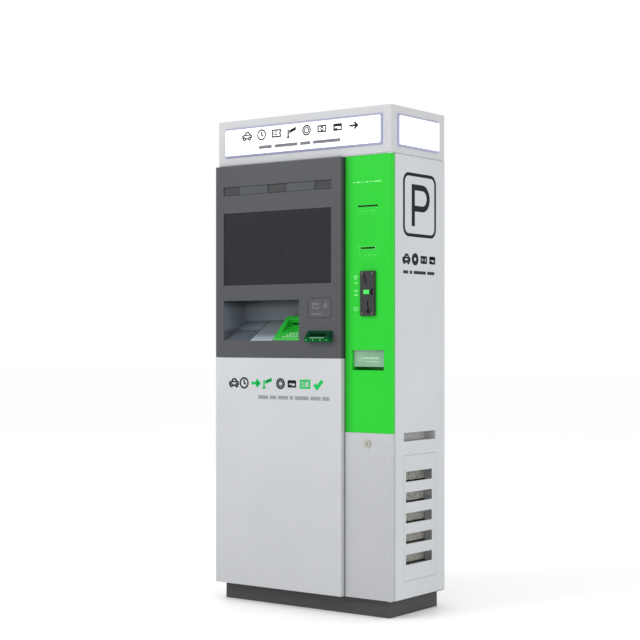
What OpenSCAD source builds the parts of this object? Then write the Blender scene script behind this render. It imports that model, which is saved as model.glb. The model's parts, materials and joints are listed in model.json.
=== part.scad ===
// Parking pay station: a floor-standing steel cabinet with a lit sign on top, a wide main
// door that carries the screen and payment units, and a narrow column door for coins and tickets.
// The front faces -Y, the station's right side faces +X, and the origin is at the middle of the
// plinth's floor face. Depths are measured back from the front plane of the column door.

/* [Cabinet] */
// Width across the front
body_w = 768; // [700:1:940]
// Depth from the column door's front to the rear panel's back
body_d = 345; // [310:1:430]
// Height between the floor plate and the roof plate
door_zone_h = 1534; // [1500:1:1700]
// Height of the lit header above the roof plate
header_h = 163; // [140:1:220]
// Thickness of panel and door skins
sheet_t = 2; // [1.2:0.1:2.5]
// Thickness of the floor, roof and header plates
plate_t = 3; // [2:0.5:4]
// Outer bend radius of panels and doors
bend_r = 3; // [2.6:0.2:6]
// Width of the return flanges of the side panels
flange_w = 18; // [14:1:24]
// Set-back of the floor and roof plates from the faces around them
plate_setback = 3; // [2:0.5:3.5]

/* [Plinth] */
// Height from the ground to the top of the floor plate
plinth_h = 60; // [50:1:100]
// Set-back of the plinth from the cabinet's sides, front and back
plinth_inset = 20; // [10:1:35]
// Thickness of the plinth's base plate
base_t = 4; // [3:0.5:8]
// Diameter of each anchor hole
anchor_d = 14; // [10:1:18]
// Distance between anchor holes across the width
anchor_span_x = 620; // [500:5:640]
// Distance between anchor holes across the depth
anchor_span_y = 215; // [160:5:220]
// Diameter of the access holes above the anchors
access_d = 28; // [24:1:36]
// Diameter of the cable opening in the base plate
cable_open_d = 60; // [40:1:80]
// Bore of the cable gland
gland_bore_d = 22; // [14:1:25]

/* [Doors] */
// Width of the column door
column_w = 194; // [185:1:220]
// Gap between the main door and the column door
door_gap = 4; // [3:0.5:6]
// How far the main door stands in front of the column door
main_proud = 18; // [12:1:30]
// How far the doors' sides reach back from the front plane
door_wrap = 21; // [21:1:24]
// Seam between the doors and the side panels
seam = 3; // [3:0.5:5]
// Gap above and below each door
door_end_gap = 1.5; // [1.4:0.1:3]
// Distance of each pivot from the door's outer side
pivot_in = 9; // [8.5:0.5:9]
// Distance of each pivot in front of the doors' back edge
pivot_forward = 14; // [13:0.5:15]
// Diameter of the door pivot pins
pivot_d = 7; // [5:0.5:7]
// Radial clearance of a turning pin in its hole
running_gap = 0.05; // [0.02:0.01:0.1]
// Height of the joint between upper and lower skins of the main door
main_split_z = 890; // [820:1:925]
// Height of the joint between green and white skins of the column door
column_split_z = 634; // [625:1:820]
// Line left between two skins that meet
hairline = 0.6; // [0.4:0.1:1]
// Size of the square stiffening tubes behind the main door
stile_size = 20; // [16:1:20]

/* [Lit sign] */
// Length of the front sign lens
front_lens_w = 704; // [500:1:720]
// Length of each side sign lens
side_lens_w = 272; // [200:1:280]
// Height of the front sign lens
lens_h = 110; // [80:1:118]
// How much taller the side sign lenses are
side_lens_extra = 5; // [0:1:6]
// How far the lenses stand out, which is also the width of their sloping rim
lens_out = 8; // [4:0.5:12]
// Corner radius of the lenses
lens_r = 9; // [8:0.5:14]
// How far each lens overlaps the edge of its opening
lens_lap = 11; // [6:1:16]

/* [Screen] */
// Width of the screen opening
screen_w = 489; // [400:1:500]
// Height of the screen opening
screen_h = 265; // [240:1:300]
// Height of the screen's centre
screen_z = 1286.5; // [1270:0.5:1300]
// How far the screen's centre is left of the main door's centre
screen_shift = 2; // [0:0.5:8]
// How far the glass reaches past the opening on each side
glass_lap = 5; // [4:1:8]
// Thickness of the touch glass
glass_t = 3; // [2:0.5:4]
// Depth of the display unit behind the glass
display_t = 34; // [20:1:50]

/* [Camera strip] */
// Height of the camera strip
strip_h = 33; // [28:1:45]
// Height of the strip's centre
strip_z = 1499.5; // [1485:0.5:1510]
// Thickness of the strip behind the skin
strip_t = 4; // [3:0.5:5]
// Width of the two end windows
end_window_w = 72; // [60:1:90]
// Width of the camera window
camera_window_w = 84; // [70:1:110]

/* [Alcove] */
// Width of the alcove opening
alcove_w = 347; // [330:1:360]
// Height of the alcove opening
alcove_h = 146; // [130:1:150]
// Height of the alcove's lower edge
alcove_z = 952; // [945:1:960]
// Depth of the alcove behind the main door's front
alcove_d = 120; // [110:1:140]
// Rise of the alcove's floor from front to back
alcove_rise = 74; // [60:1:80]
// Wall thickness of the alcove and of the return cup
tray_t = 2; // [1:0.5:2.5]
// Width of the banknote bezel
note_bezel_w = 117; // [105:1:125]
// Height of the banknote bezel's sloping face
note_bezel_rise = 83; // [75:1:90]
// Width of the steel plate beside the bezel
steel_lip_w = 100; // [80:1:104]
// Width and height of the note slot
note_slot = [78, 6];
// Width and height of the receipt slot
receipt_slot = [84, 7];

/* [Card and contactless readers] */
// Width and height of the contactless reader's face
tap_face = [101, 70];
// Centre of the contactless reader, from the main door's right edge and from the floor
tap_place = [92, 1067.5];
// Width and height of the card bezel
card_bezel = [104, 40];
// Centre of the card bezel, from the main door's right edge and from the floor
card_place = [89, 967];
// How far the card bezel stands out
card_out = 25; // [15:1:30]
// Width and height of the card bezel's mouth
card_mouth = [72, 10];

/* [Coin and ticket units] */
// Width and height of the coin plate
coin_plate_size = [60, 155];
// Height of the coin plate's centre
coin_plate_z = 1115; // [1110:1:1125]
// How far the coin plate stands out
coin_plate_out = 9; // [6:0.5:12]
// Width and height of the coin return button
button_size = [23, 15];
// How far the button stands out of the coin plate
button_out = 3.5; // [3:0.5:5]
// Travel of the button
button_travel = 3; // [2:0.5:3]
// Clearance of sliding and swinging parts in their openings
slide_gap = 0.4; // [0.3:0.1:0.6]
// Width and height of the ticket slot bezel
ticket_bezel = [76, 15];
// Height of the ticket slot
ticket_z = 1272; // [1262:1:1300]
// Width and height of the receipt slit near the top of the column
slit_size = [84, 5.5];
// Height of that slit
slit_z = 1417; // [1400:1:1440]
// Width and height of the return opening
cup_size = [133, 70];
// Height of the return opening's lower edge
cup_z = 850; // [840:1:860]
// Depth of the return cup
cup_d = 68; // [60:1:80]
// Height of the gap below the return flap
flap_gap_z = 12; // [6:1:16]
// Depth of the return flap behind the front plane
flap_back = 9; // [7:1:12]
// Thickness of the return flap
flap_t = 3; // [2:0.5:4]

/* [Locks and latch] */
// Height of the column door's lock
lock_z = 596; // [540:1:600]
// Diameter of the lock's collar
lock_collar_d = 28; // [22:1:30]
// Diameter of the lock's turning plug
lock_plug_d = 15; // [12:1:15]
// Length of the lock's cam
cam_length = 50; // [49:1:52]
// Length of the latch lever's crank
crank_r = 25; // [22:1:25]
// Angle that the latch lever turns through
latch_turn = 50; // [40:1:50]
// Height of the latch lever's axle
latch_z = 460; // [400:1:500]
// Diameter of the latch lever's axle
latch_axle_d = 10; // [8:0.5:10]

/* [Side vents] */
// Width and height of the filter cover
vent_cover_size = [204, 435];
// Height of the filter cover's lower edge
vent_cover_z = 119.5; // [110:0.5:125]
// Width and height of each window in the filter cover
vent_window = [169, 35.5];
// Number of windows
vent_count = 5; // [3:1:5]
// Distance from one window to the next
vent_pitch = 72; // [60:1:75]
// Depth of the filter pocket
vent_pocket_d = 45; // [34:1:46]
// Width and height of the slot vent above the filter cover
slot_vent_size = [205, 30];
// Height of the slot vent's lower edge
slot_vent_z = 603.5; // [590:0.5:620]
// How far the vents' centre is behind the middle of the side
vent_shift = 8; // [0:1:12]
// Outer size of the fan frame
fan_size = 120; // [92:1:120]

/* [Hidden] */
$fn = 48;

// How far the side lenses sit in front of and below the middle of the header's sides
side_lens_place = [4.5, 2.5];
// Planes and edges that the pieces share
half_w = body_w / 2;
front_y = -body_d / 2;
back_y = body_d / 2;
main_front_y = front_y - main_proud;
door_back_y = front_y + door_wrap;
shell_y = door_back_y + seam;
rear_skin_y = back_y - sheet_t;
floor_z = plinth_h;
roof_z = floor_z + door_zone_h;
header_z = roof_z + plate_t;
top_z = header_z + header_h;
door_z0 = floor_z + door_end_gap;
door_z1 = roof_z - door_end_gap;
column_x0 = half_w - column_w;
main_x0 = -half_w;
main_x1 = column_x0 - door_gap;
main_w = main_x1 - main_x0;
main_depth = main_proud + door_wrap;
main_skin_back = main_front_y + sheet_t;
column_skin_back = front_y + sheet_t;
column_mid = (column_x0 + half_w) / 2;
pivot_y = door_back_y - pivot_forward;
pivot_x = half_w - pivot_in;

// Centre post between the doors
post_w = 24;
post_d = 40;
post_x0 = main_x1 - 10;
post_x1 = post_x0 + post_w;

// Screen and camera strip
screen_x = (main_x0 + main_x1) / 2 - screen_shift;
strip_w = screen_w + 1;
strip_x0 = screen_x - strip_w / 2;
strip_lap = 6;
camera_window_x = strip_x0 + strip_w * 0.505;
pane_t = 2.5;

// Alcove and what it holds
alcove_x0 = screen_x - screen_w / 2 + 1;
alcove_x1 = alcove_x0 + alcove_w;
alcove_front_y = main_skin_back;
alcove_back_y = main_front_y + alcove_d;
alcove_slope = alcove_rise / (alcove_d - sheet_t);
alcove_angle = atan(alcove_slope);
alcove_floor_drop = tray_t / cos(alcove_angle);
note_x1 = alcove_x1 - 1;
note_x0 = note_x1 - note_bezel_w;
note_mid = (note_x0 + note_x1) / 2;
note_slot_z = alcove_z + 58;
steel_lip_x1 = note_x0 - 5;
steel_lip_x0 = steel_lip_x1 - steel_lip_w;
receipt_x = (alcove_x0 + steel_lip_x0) / 2;
receipt_y = main_front_y + 62;
printer_w = 100;
printer_d = 74;
printer_y0 = receipt_y - 22;
printer_top_z = alcove_z + 14;
printer_h = 52;
roll_r = 40;
roll_core_r = 8;
roll_y = printer_y0 + roll_r + 2;
roll_z = printer_top_z - printer_h - roll_r - 8;
acceptor_y = alcove_back_y + tray_t;
acceptor_w = 108;
acceptor_d = 120;
acceptor_z0 = alcove_z - 50;
acceptor_h = 158;
cashbox_h = 245;

// Readers on the right of the main door
tap_x = main_x1 - tap_place[0];
card_x = main_x1 - card_place[0];
card_z0 = card_place[1] - card_bezel[1] / 2;
card_z1 = card_place[1] + card_bezel[1] / 2;
card_mouth_z = card_place[1] + 1;

// Column units
unit_d = 104;
coin_x = column_mid + 3;
button_x = column_mid + 1;
button_z = coin_plate_z + 5;
plate_y = front_y - coin_plate_out;
plate_screw = [21.5, 69];
cup_x0 = column_mid - cup_size[0] / 2;
cup_x1 = column_mid + cup_size[0] / 2;
cup_roof_z = cup_z + cup_size[1] + 10;
flap_axis_y = front_y + flap_back + flap_t / 2;
flap_axis_z = cup_z + cup_size[1] + 4;
flap_axle_r = 2;
flap_barrel_r = 3.5;

// Lock, strike and latch
lock_x = column_mid;
cam_y = shell_y + sheet_t + 1;
cam_t = 3;
cam_w = 13;
strike_reach = 47;
latch_y = shell_y + 20;
latch_axle_r = latch_axle_d / 2;
latch_bar_x = post_x0 - 6.5;
latch_bar_t = 3;
latch_bar_y = latch_y + latch_axle_r + 1;
latch_bar_w = 12;
latch_lift = 2 * crank_r * sin(latch_turn / 2);
latch_pin_y = latch_y + 2;
latch_pin_r = 4;
latch_pin_heights = [plinth_h + 240, plinth_h + 1240];
latch_slot_play = 1;
hook_front_y = latch_pin_y - 10;
crank_pin_r = 3;
crank_pin_z = latch_z - latch_lift / 2;
handle_angle = 40;
handle_length = 60;

// Side vents
vent_mid = vent_shift;
vent_pocket_x = half_w - sheet_t - vent_pocket_d;
vent_pocket_t = 1.5;
cover_gap = 1;
fan_t = 25;
fan_z = vent_cover_z + vent_cover_size[1] / 2;
fan_x1 = vent_pocket_x - 4;
fan_bore_r = fan_size / 2 - 4;
hub_r = 20;
fan_axle_r = 3;

// Inside units
gland_place = [-200, back_y - 85];
vault_size = [85, 200, 270];
vault_x0 = post_x1 + 18;
chute_r = 19;
chute_place = [vault_x0 + vault_size[0] / 2, front_y + 150];
chute_top_z = cup_z - 50;
breaker_x = -20;
breaker_z = plinth_h + 282;
breaker_y = rear_skin_y - 68;
toggle_r = 4;

// ---- Shared shapes ----

// Block from its lowest corner to its highest corner
module span(low, high) {
    translate(low)
        cube([high[0] - low[0], high[1] - low[1], high[2] - low[2]]);
}

// Flat rounded rectangle centred on the origin
module rounded_rect(size, r) {
    square([size[0] - 2 * r, size[1]], center = true);
    square([size[0], size[1] - 2 * r], center = true);
    for (sx = [-1, 1], sy = [-1, 1])
        translate([sx * (size[0] / 2 - r), sy * (size[1] / 2 - r)])
            circle(r);
}

// Rounded plate that faces the front: x and z of its centre, front depth y, thickness t
module front_plate(x, z, size, y, t, r) {
    translate([x, y + t, z])
        rotate([90, 0, 0])
            linear_extrude(t)
                rounded_rect(size, r);
}

// Rounded plate that faces sideways: y and z of its centre, lowest x, thickness t
module side_plate(y, z, size, x, t, r) {
    translate([x, y, z])
        rotate([90, 0, 90])
            linear_extrude(t)
                rounded_rect(size, r);
}

// Cylinder from y0 to y1
module rod_y(x, z, r, y0, y1) {
    translate([x, y1, z])
        rotate([90, 0, 0])
            cylinder(r = r, h = y1 - y0);
}

// Cylinder from x0 to x1
module rod_x(y, z, r, x0, x1) {
    translate([x0, y, z])
        rotate([0, 90, 0])
            cylinder(r = r, h = x1 - x0);
}

// Cylinder from z0 to z1
module rod_z(x, y, r, z0, z1) {
    translate([x, y, z0])
        cylinder(r = r, h = z1 - z0);
}

// Outline of a folded skin seen from above: front wall, two sides and rounded front bends
module pan_outline(w, d, t, r) {
    difference() {
        union() {
            translate([r, 0])
                square([w - 2 * r, r]);
            translate([0, r])
                square([w, d - r]);
            translate([r, r])
                circle(r);
            translate([w - r, r])
                circle(r);
        }
        translate([t, t])
            square([w - 2 * t, d]);
    }
}

// Folded skin from z0 to z1, with its front-left corner at x, y
module folded_skin(x, y, w, d, z0, z1) {
    translate([x, y, z0])
        linear_extrude(z1 - z0)
            pan_outline(w, d, sheet_t, bend_r);
}

// Pivot hole through a door flange
module pivot_hole(x, z) {
    rod_z(x, pivot_y, pivot_d / 2 + running_gap, z - 2 * sheet_t, z + 2 * sheet_t);
}

// ---- Fixed cabinet ----

module plinth() {
    x = half_w - plinth_inset;
    y = body_d / 2 - plinth_inset;
    top = floor_z - plate_t;
    color("#3c3d3f") difference() {
        span([-x, -y, 0], [x, y, top]);
        span([-x + plate_t, -y + plate_t, base_t], [x - plate_t, y - plate_t, top + 1]);
        for (sx = [-1, 1], sy = [-1, 1])
            rod_z(sx * anchor_span_x / 2, sy * anchor_span_y / 2, anchor_d / 2, -1, base_t + 1);
        rod_z(gland_place[0], gland_place[1], cable_open_d / 2, -1, base_t + 1);
    }
}

module cabinet_floor() {
    x = half_w - plate_setback;
    color("#3c3d3f") difference() {
        span([-x, front_y + plate_setback, floor_z - plate_t], [x, rear_skin_y - 1, floor_z]);
        for (sx = [-1, 1], sy = [-1, 1])
            rod_z(sx * anchor_span_x / 2, sy * anchor_span_y / 2, access_d / 2, 0, floor_z + 1);
        rod_z(gland_place[0], gland_place[1], gland_bore_d / 2 + 3, 0, floor_z + 1);
        for (sx = [-1, 1])
            rod_z(sx * pivot_x, pivot_y, pivot_d / 2, 0, floor_z + 1);
    }
}

module roof_panel() {
    x = half_w - plate_setback;
    color("#c9cacc") difference() {
        span([-x, front_y + plate_setback, roof_z], [x, rear_skin_y - 1, header_z]);
        rod_z(0, back_y - 80, 12, roof_z - 1, header_z + 1);
        for (sx = [-1, 1])
            rod_z(sx * pivot_x, pivot_y, pivot_d / 2, roof_z - 1, header_z + 1);
    }
}

// Side panel with its front and rear flanges, for the right-hand side
module side_shell() {
    span([half_w - sheet_t, shell_y, floor_z], [half_w, rear_skin_y, roof_z]);
    span([half_w - sheet_t - flange_w, shell_y, floor_z], [half_w - sheet_t, shell_y + sheet_t, roof_z]);
    span([half_w - sheet_t - flange_w, rear_skin_y - sheet_t, floor_z],
        [half_w - sheet_t, rear_skin_y, roof_z]);
}

module left_side_panel() {
    color("#d0d2d5")
        mirror([1, 0, 0])
            side_shell();
}

module right_side_panel() {
    slot_mid = slot_vent_z + slot_vent_size[1] / 2;
    color("#d0d2d5") difference() {
        side_shell();
        side_plate(vent_mid, vent_duct_mid(), vent_duct_bore(), half_w - 2 * sheet_t, 3 * sheet_t, 1);
        side_plate(vent_mid, slot_mid, slot_vent_size, half_w - 2 * sheet_t, 3 * sheet_t, 1);
    }
}

// Height of the middle of the vent duct
function vent_duct_mid() = vent_cover_z + vent_cover_size[1] / 2;

// Clear inside of the vent duct, which the cover drops into
function vent_duct_bore() = [vent_cover_size[0] + 2 * cover_gap, vent_cover_size[1] + 2 * cover_gap];

module rear_panel() {
    vent_rows = 7;
    color("#c6c8cb") difference() {
        span([-half_w, rear_skin_y, floor_z], [half_w, back_y, roof_z]);
        for (sx = [-1, 1], i = [0 : vent_rows - 1])
            front_plate(sx * 190, roof_z - 90 - 22 * i, [130, 7], rear_skin_y - 1, sheet_t + 2, 3.4);
        for (sx = [-1, 1], z = rear_screw_heights())
            rod_y(sx * rear_screw_x(), z, 2.6, rear_skin_y - 1, back_y + 1);
    }
}

// Heights of the screws down each side of the rear panel
function rear_screw_heights() = [for (i = [0 : 4]) floor_z + 60 + i * (door_zone_h - 120) / 4];

// Distance of those screws from the middle
function rear_screw_x() = half_w - sheet_t - flange_w / 2;

module rear_screws() {
    color("#9a9c9f")
        for (sx = [-1, 1], z = rear_screw_heights())
            difference() {
                union() {
                    rod_y(sx * rear_screw_x(), z, 2.5, rear_skin_y, back_y);
                    rod_y(sx * rear_screw_x(), z, 5, back_y, back_y + 2.5);
                }
                translate([sx * rear_screw_x(), back_y + 2.6, z])
                    rotate([90, 0, 0])
                        cylinder(r = 2, h = 1.6, $fn = 6);
            }
}

module centre_post() {
    y1 = shell_y + post_d;
    color("#b9bbbe") difference() {
        span([post_x0, shell_y, floor_z], [post_x1, y1, roof_z]);
        span([post_x0 + sheet_t, shell_y + sheet_t, floor_z - 1], [post_x1 - sheet_t, y1 + 1, roof_z + 1]);
        rod_x(latch_y, latch_z, latch_axle_r + running_gap, post_x0 - 1, post_x1 + 1);
    }
}

// Plain sign opening: the lens outline less its lap
function opening(lens) = [lens[0] - 2 * lens_lap, lens[1] - 2 * lens_lap];

module header_housing() {
    mid_z = header_z + header_h / 2;
    front_lens = [front_lens_w, lens_h];
    side_lens = [side_lens_w, lens_h + side_lens_extra];
    color("#dadbdd") difference() {
        translate([0, 0, header_z])
            linear_extrude(header_h)
                rounded_rect([body_w, body_d], bend_r);
        span([-half_w + plate_t, front_y + plate_t, header_z - 1],
            [half_w - plate_t, back_y - plate_t, top_z - 2 * plate_t]);
        span([-half_w + 15, front_y + 15, header_z - 1], [half_w - 15, back_y - 15, top_z + 1]);
        span([-half_w + plate_t, front_y + plate_t, top_z - plate_t],
            [half_w - plate_t, back_y - plate_t, top_z + 1]);
        front_plate(0, mid_z, opening(front_lens), front_y - 1, plate_t + 2, 4);
        for (x = [-half_w - 1, half_w - plate_t - 1])
            side_plate(-side_lens_place[0], mid_z - side_lens_place[1], opening(side_lens), x,
                plate_t + 2, 4);
    }
}

module header_lid() {
    gap = plate_t + cover_gap;
    color("#dadbdd")
        span([-half_w + gap, front_y + gap, top_z - plate_t], [half_w - gap, back_y - gap, top_z]);
}

// Raised lens lying on z = 0, with its rim sloping at 45 degrees
module lens(size) {
    hull() {
        linear_extrude(0.5)
            rounded_rect(size, lens_r, $fn = 32);
        translate([0, 0, lens_out - 0.5])
            linear_extrude(0.5)
                rounded_rect([size[0] - 2 * lens_out, size[1] - 2 * lens_out], lens_r / 2, $fn = 32);
    }
}

module sign_diffusers() {
    mid_z = header_z + header_h / 2;
    color("#ffffff") {
        translate([0, front_y, mid_z])
            rotate([90, 0, 0])
                lens([front_lens_w, lens_h]);
        for (side = [1, -1])
            translate([side * half_w, -side_lens_place[0], mid_z - side_lens_place[1]])
                rotate([90, 0, side * 90])
                    lens([side_lens_w, lens_h + side_lens_extra]);
    }
}

// LED bar along x, standing on the roof plate
module led_bar(length) {
    foot = 2;
    bar_z = header_h / 2;
    translate([-length / 2, 0, 0])
        cube([length, 24, foot]);
    translate([-length / 2, 0, 0])
        cube([length, foot, bar_z + 10]);
    translate([-length / 2, -1.5, bar_z - 6])
        cube([length, 1.5, 12]);
    for (i = [0 : floor(length / 30) - 1])
        translate([-length / 2 + 15 + 30 * i - 2.5, -2.7, bar_z - 2.5])
            cube([5, 1.2, 5]);
}

module sign_led_bars() {
    color("#e8e8dc") {
        translate([0, front_y + 50, header_z])
            led_bar(front_lens_w - 100);
        for (side = [1, -1])
            translate([side * (half_w - 60), 20, header_z])
                rotate([0, 0, side * 90])
                    led_bar(side_lens_w - 100);
    }
}

module pivot_pins() {
    reach = 10;
    washer_t = door_end_gap - 0.3;
    color("#8d9094")
        for (sx = [-1, 1]) {
            rod_z(sx * pivot_x, pivot_y, pivot_d / 2, floor_z - plate_t, door_z0 + reach);
            rod_z(sx * pivot_x, pivot_y, pivot_d / 2 + 2, floor_z, floor_z + washer_t);
            rod_z(sx * pivot_x, pivot_y, pivot_d / 2, door_z1 - reach, header_z);
            rod_z(sx * pivot_x, pivot_y, pivot_d / 2 + 2, roof_z - washer_t, roof_z);
        }
}

module vent_cover() {
    mid_z = vent_cover_z + vent_cover_size[1] / 2;
    first = mid_z - vent_pitch * (vent_count - 1) / 2;
    window_mid = vent_mid - 4.5;
    color("#d0d2d5") {
        difference() {
            side_plate(vent_mid, mid_z, vent_cover_size, half_w - sheet_t, sheet_t, 1);
            for (i = [0 : vent_count - 1])
                side_plate(window_mid, first + vent_pitch * i, vent_window, half_w - 2 * sheet_t,
                    3 * sheet_t, 0.8);
        }
        // Edge folds that clip inside the pocket
        for (s = [-1, 1])
            span([half_w - 12, vent_mid + s * (vent_cover_size[0] / 2 - 2) - 0.75, vent_cover_z + 20],
                [half_w - sheet_t, vent_mid + s * (vent_cover_size[0] / 2 - 2) + 0.75,
                vent_cover_z + vent_cover_size[1] - 20]);
    }
}

module filter_mat() {
    color("#8f8d86")
        side_plate(vent_mid, vent_cover_z + vent_cover_size[1] / 2, vent_cover_size, vent_pocket_x, 4, 1);
}

// Folded ducts welded behind the side panel around its two vents
module vent_ducts() {
    slot_mid = slot_vent_z + slot_vent_size[1] / 2;
    wall = vent_pocket_t;
    bore = vent_duct_bore();
    color("#a9abad") {
        difference() {
            side_plate(vent_mid, vent_duct_mid(), bore + [2, 2] * wall, vent_pocket_x, vent_pocket_d, 2);
            side_plate(vent_mid, vent_duct_mid(), bore, vent_pocket_x - 1, vent_pocket_d + 2, 1);
        }
        difference() {
            side_plate(vent_mid, slot_mid, slot_vent_size + [2, 2] * wall, vent_pocket_x,
                vent_pocket_d, 1.5);
            side_plate(vent_mid, slot_mid, slot_vent_size, vent_pocket_x + wall, vent_pocket_d, 1);
            // Air slits through the upper tray's top
            for (i = [-4 : 4])
                span([half_w - 34, vent_mid + 21 * i - 7, slot_mid + slot_vent_size[1] / 2 - 1],
                    [half_w - 26, vent_mid + 21 * i + 7, slot_mid + slot_vent_size[1] / 2 + wall + 1]);
        }
    }
}

module fan_frame() {
    strut = 5;
    color("#2b2c2e") {
        difference() {
            side_plate(vent_mid, fan_z, [fan_size, fan_size], fan_x1 - fan_t, fan_t + 4, 6);
            rod_x(vent_mid, fan_z, fan_bore_r, fan_x1 - fan_t - 1, fan_x1 + 5);
        }
        difference() {
            union() {
                rod_x(vent_mid, fan_z, hub_r, fan_x1 - fan_t, fan_x1 - fan_t + 3);
                for (a = [45 : 90 : 315])
                    translate([fan_x1 - fan_t, vent_mid, fan_z])
                        rotate([a, 0, 0])
                            translate([0, -strut / 2, 0])
                                cube([3, strut, fan_bore_r + 1]);
                rod_x(vent_mid, fan_z, fan_axle_r, fan_x1 - fan_t, fan_x1 - 4);
            }
        }
    }
}

module fan_rotor() {
    blades = 7;
    color("#3a3b3e") difference() {
        union() {
            rod_x(vent_mid, fan_z, hub_r, fan_x1 - fan_t + 4, fan_x1 - 1);
            for (i = [0 : blades - 1])
                translate([fan_x1 - fan_t / 2 + 1, vent_mid, fan_z])
                    rotate([i * 360 / blades, 0, 0])
                        translate([0, 0, hub_r - 2])
                            rotate([0, 0, 40])
                                translate([-1, -11, 0])
                                    cube([2, 22, fan_bore_r - hub_r - 1]);
        }
        rod_x(vent_mid, fan_z, fan_axle_r + running_gap, fan_x1 - fan_t - 1, fan_x1 - 3.5);
    }
}

module power_supply() {
    x0 = -330;
    z0 = plinth_h + 190;
    y0 = rear_skin_y - 50;
    color("#b4b6b8") difference() {
        span([x0, y0, z0], [x0 + 215, rear_skin_y, z0 + 115]);
        for (i = [0 : 11])
            span([x0 + 40 + 14 * i, y0 - 1, z0 + 30], [x0 + 46 + 14 * i, y0 + 2, z0 + 100]);
        span([x0 - 1, y0 - 1, z0 - 1], [x0 + 216, y0 + 22, z0 + 16]);
    }
}

module breaker() {
    w = 36;
    h = 85;
    color("#dfe0df") difference() {
        union() {
            span([breaker_x - 55, rear_skin_y - 8, breaker_z - 17],
                [breaker_x + 55, rear_skin_y, breaker_z + 17]);
            span([breaker_x - w / 2, breaker_y + 22, breaker_z - h / 2],
                [breaker_x + w / 2, rear_skin_y - 8, breaker_z + h / 2]);
            span([breaker_x - w / 2, breaker_y, breaker_z - 22],
                [breaker_x + w / 2, breaker_y + 22, breaker_z + 22]);
        }
        span([breaker_x - 8, breaker_y - 1, breaker_z - 13], [breaker_x + 8, breaker_y + 12, breaker_z + 13]);
        rod_x(breaker_y + 5, breaker_z, 2 + running_gap, breaker_x - 12, breaker_x + 12);
    }
}

module breaker_toggle() {
    color("#26282b") {
        rod_x(breaker_y + 5, breaker_z, 2, breaker_x - 11.5, breaker_x + 11.5);
        rod_x(breaker_y + 5, breaker_z, toggle_r, breaker_x - 7, breaker_x + 7);
        translate([breaker_x - 7, breaker_y + 5, breaker_z])
            rotate([20, 0, 0])
                translate([1, -16, -1.75])
                    cube([12, 16, 3.5]);
    }
}

module controller() {
    x0 = -330;
    z0 = screen_z - 110;
    y0 = rear_skin_y - 62;
    fins = 14;
    color("#303236") {
        span([x0, y0 + 12, z0], [x0 + 240, rear_skin_y, z0 + 210]);
        for (i = [0 : fins - 1])
            span([x0 + 10 + 16.5 * i, y0, z0 + 5], [x0 + 14 + 16.5 * i, y0 + 12, z0 + 205]);
    }
}

module coin_vault() {
    y0 = front_y + 90;
    z1 = floor_z + vault_size[2];
    wall = 3;
    color("#6c7076") difference() {
        span([vault_x0, y0, floor_z], [vault_x0 + vault_size[0], y0 + vault_size[1], z1]);
        span([vault_x0 + wall, y0 + wall, floor_z + wall],
            [vault_x0 + vault_size[0] - wall, y0 + vault_size[1] - wall, z1 - wall]);
        rod_z(chute_place[0], chute_place[1], chute_r - 3, z1 - wall - 1, z1 + 1);
    }
}

module coin_chute() {
    z0 = floor_z + vault_size[2];
    color("#8b8f94") {
        difference() {
            union() {
                rod_z(chute_place[0], chute_place[1], chute_r, z0, chute_top_z);
                translate([chute_place[0], chute_place[1], chute_top_z - 30])
                    cylinder(r1 = chute_r, r2 = 42, h = 30);
            }
            rod_z(chute_place[0], chute_place[1], chute_r - 2, z0 - 1, chute_top_z - 29);
            translate([chute_place[0], chute_place[1], chute_top_z - 30])
                cylinder(r1 = chute_r - 2, r2 = 40, h = 30.01);
        }
        // Bracket from the tube to the centre post
        difference() {
            span([post_x1, chute_place[1] - chute_r - 3, z0 + 200],
                [chute_place[0], chute_place[1] - chute_r + 4, z0 + 224]);
            rod_z(chute_place[0], chute_place[1], chute_r - 1, z0, chute_top_z - 40);
        }
        span([post_x1, shell_y + 20, z0 + 200], [post_x1 + 3, chute_place[1] - chute_r + 4, z0 + 224]);
    }
}

module cable_gland() {
    x = gland_place[0];
    y = gland_place[1];
    color("#2c2d2f") difference() {
        union() {
            rod_z(x, y, gland_bore_d / 2 + 3, floor_z - 18, floor_z + 20);
            translate([x, y, floor_z])
                cylinder(r = gland_bore_d / 2 + 9, h = 8, $fn = 6);
            translate([x, y, floor_z - plate_t - 7])
                cylinder(r = gland_bore_d / 2 + 9, h = 7, $fn = 6);
            rod_z(x, y, gland_bore_d / 2 + 6, floor_z + 8, floor_z + 26);
        }
        rod_z(x, y, gland_bore_d / 2, floor_z - 20, floor_z + 30);
    }
}

module column_strike() {
    color("#9ea1a5") {
        span([post_x1, shell_y, lock_z - 18], [post_x1 + strike_reach, shell_y + sheet_t, lock_z + 18]);
        span([post_x1, shell_y + sheet_t, lock_z - 18], [post_x1 + 2.5, shell_y + 22, lock_z + 18]);
    }
}

// ---- Main door latch: a sliding bar with two hooks, worked by a lever in the column space ----

module latch_guides() {
    gap = 0.3;
    grip = 2.5;
    color("#9ea1a5")
        for (z = [latch_z - 60, latch_z + 220, latch_z + 660])
            difference() {
                span([latch_bar_x - grip, latch_bar_y - grip, z],
                    [post_x0, latch_bar_y + latch_bar_w + grip, z + 14]);
                span([latch_bar_x - gap, latch_bar_y - gap, z - 1],
                    [latch_bar_x + latch_bar_t + gap, latch_bar_y + latch_bar_w + gap, z + 15]);
            }
}

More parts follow.
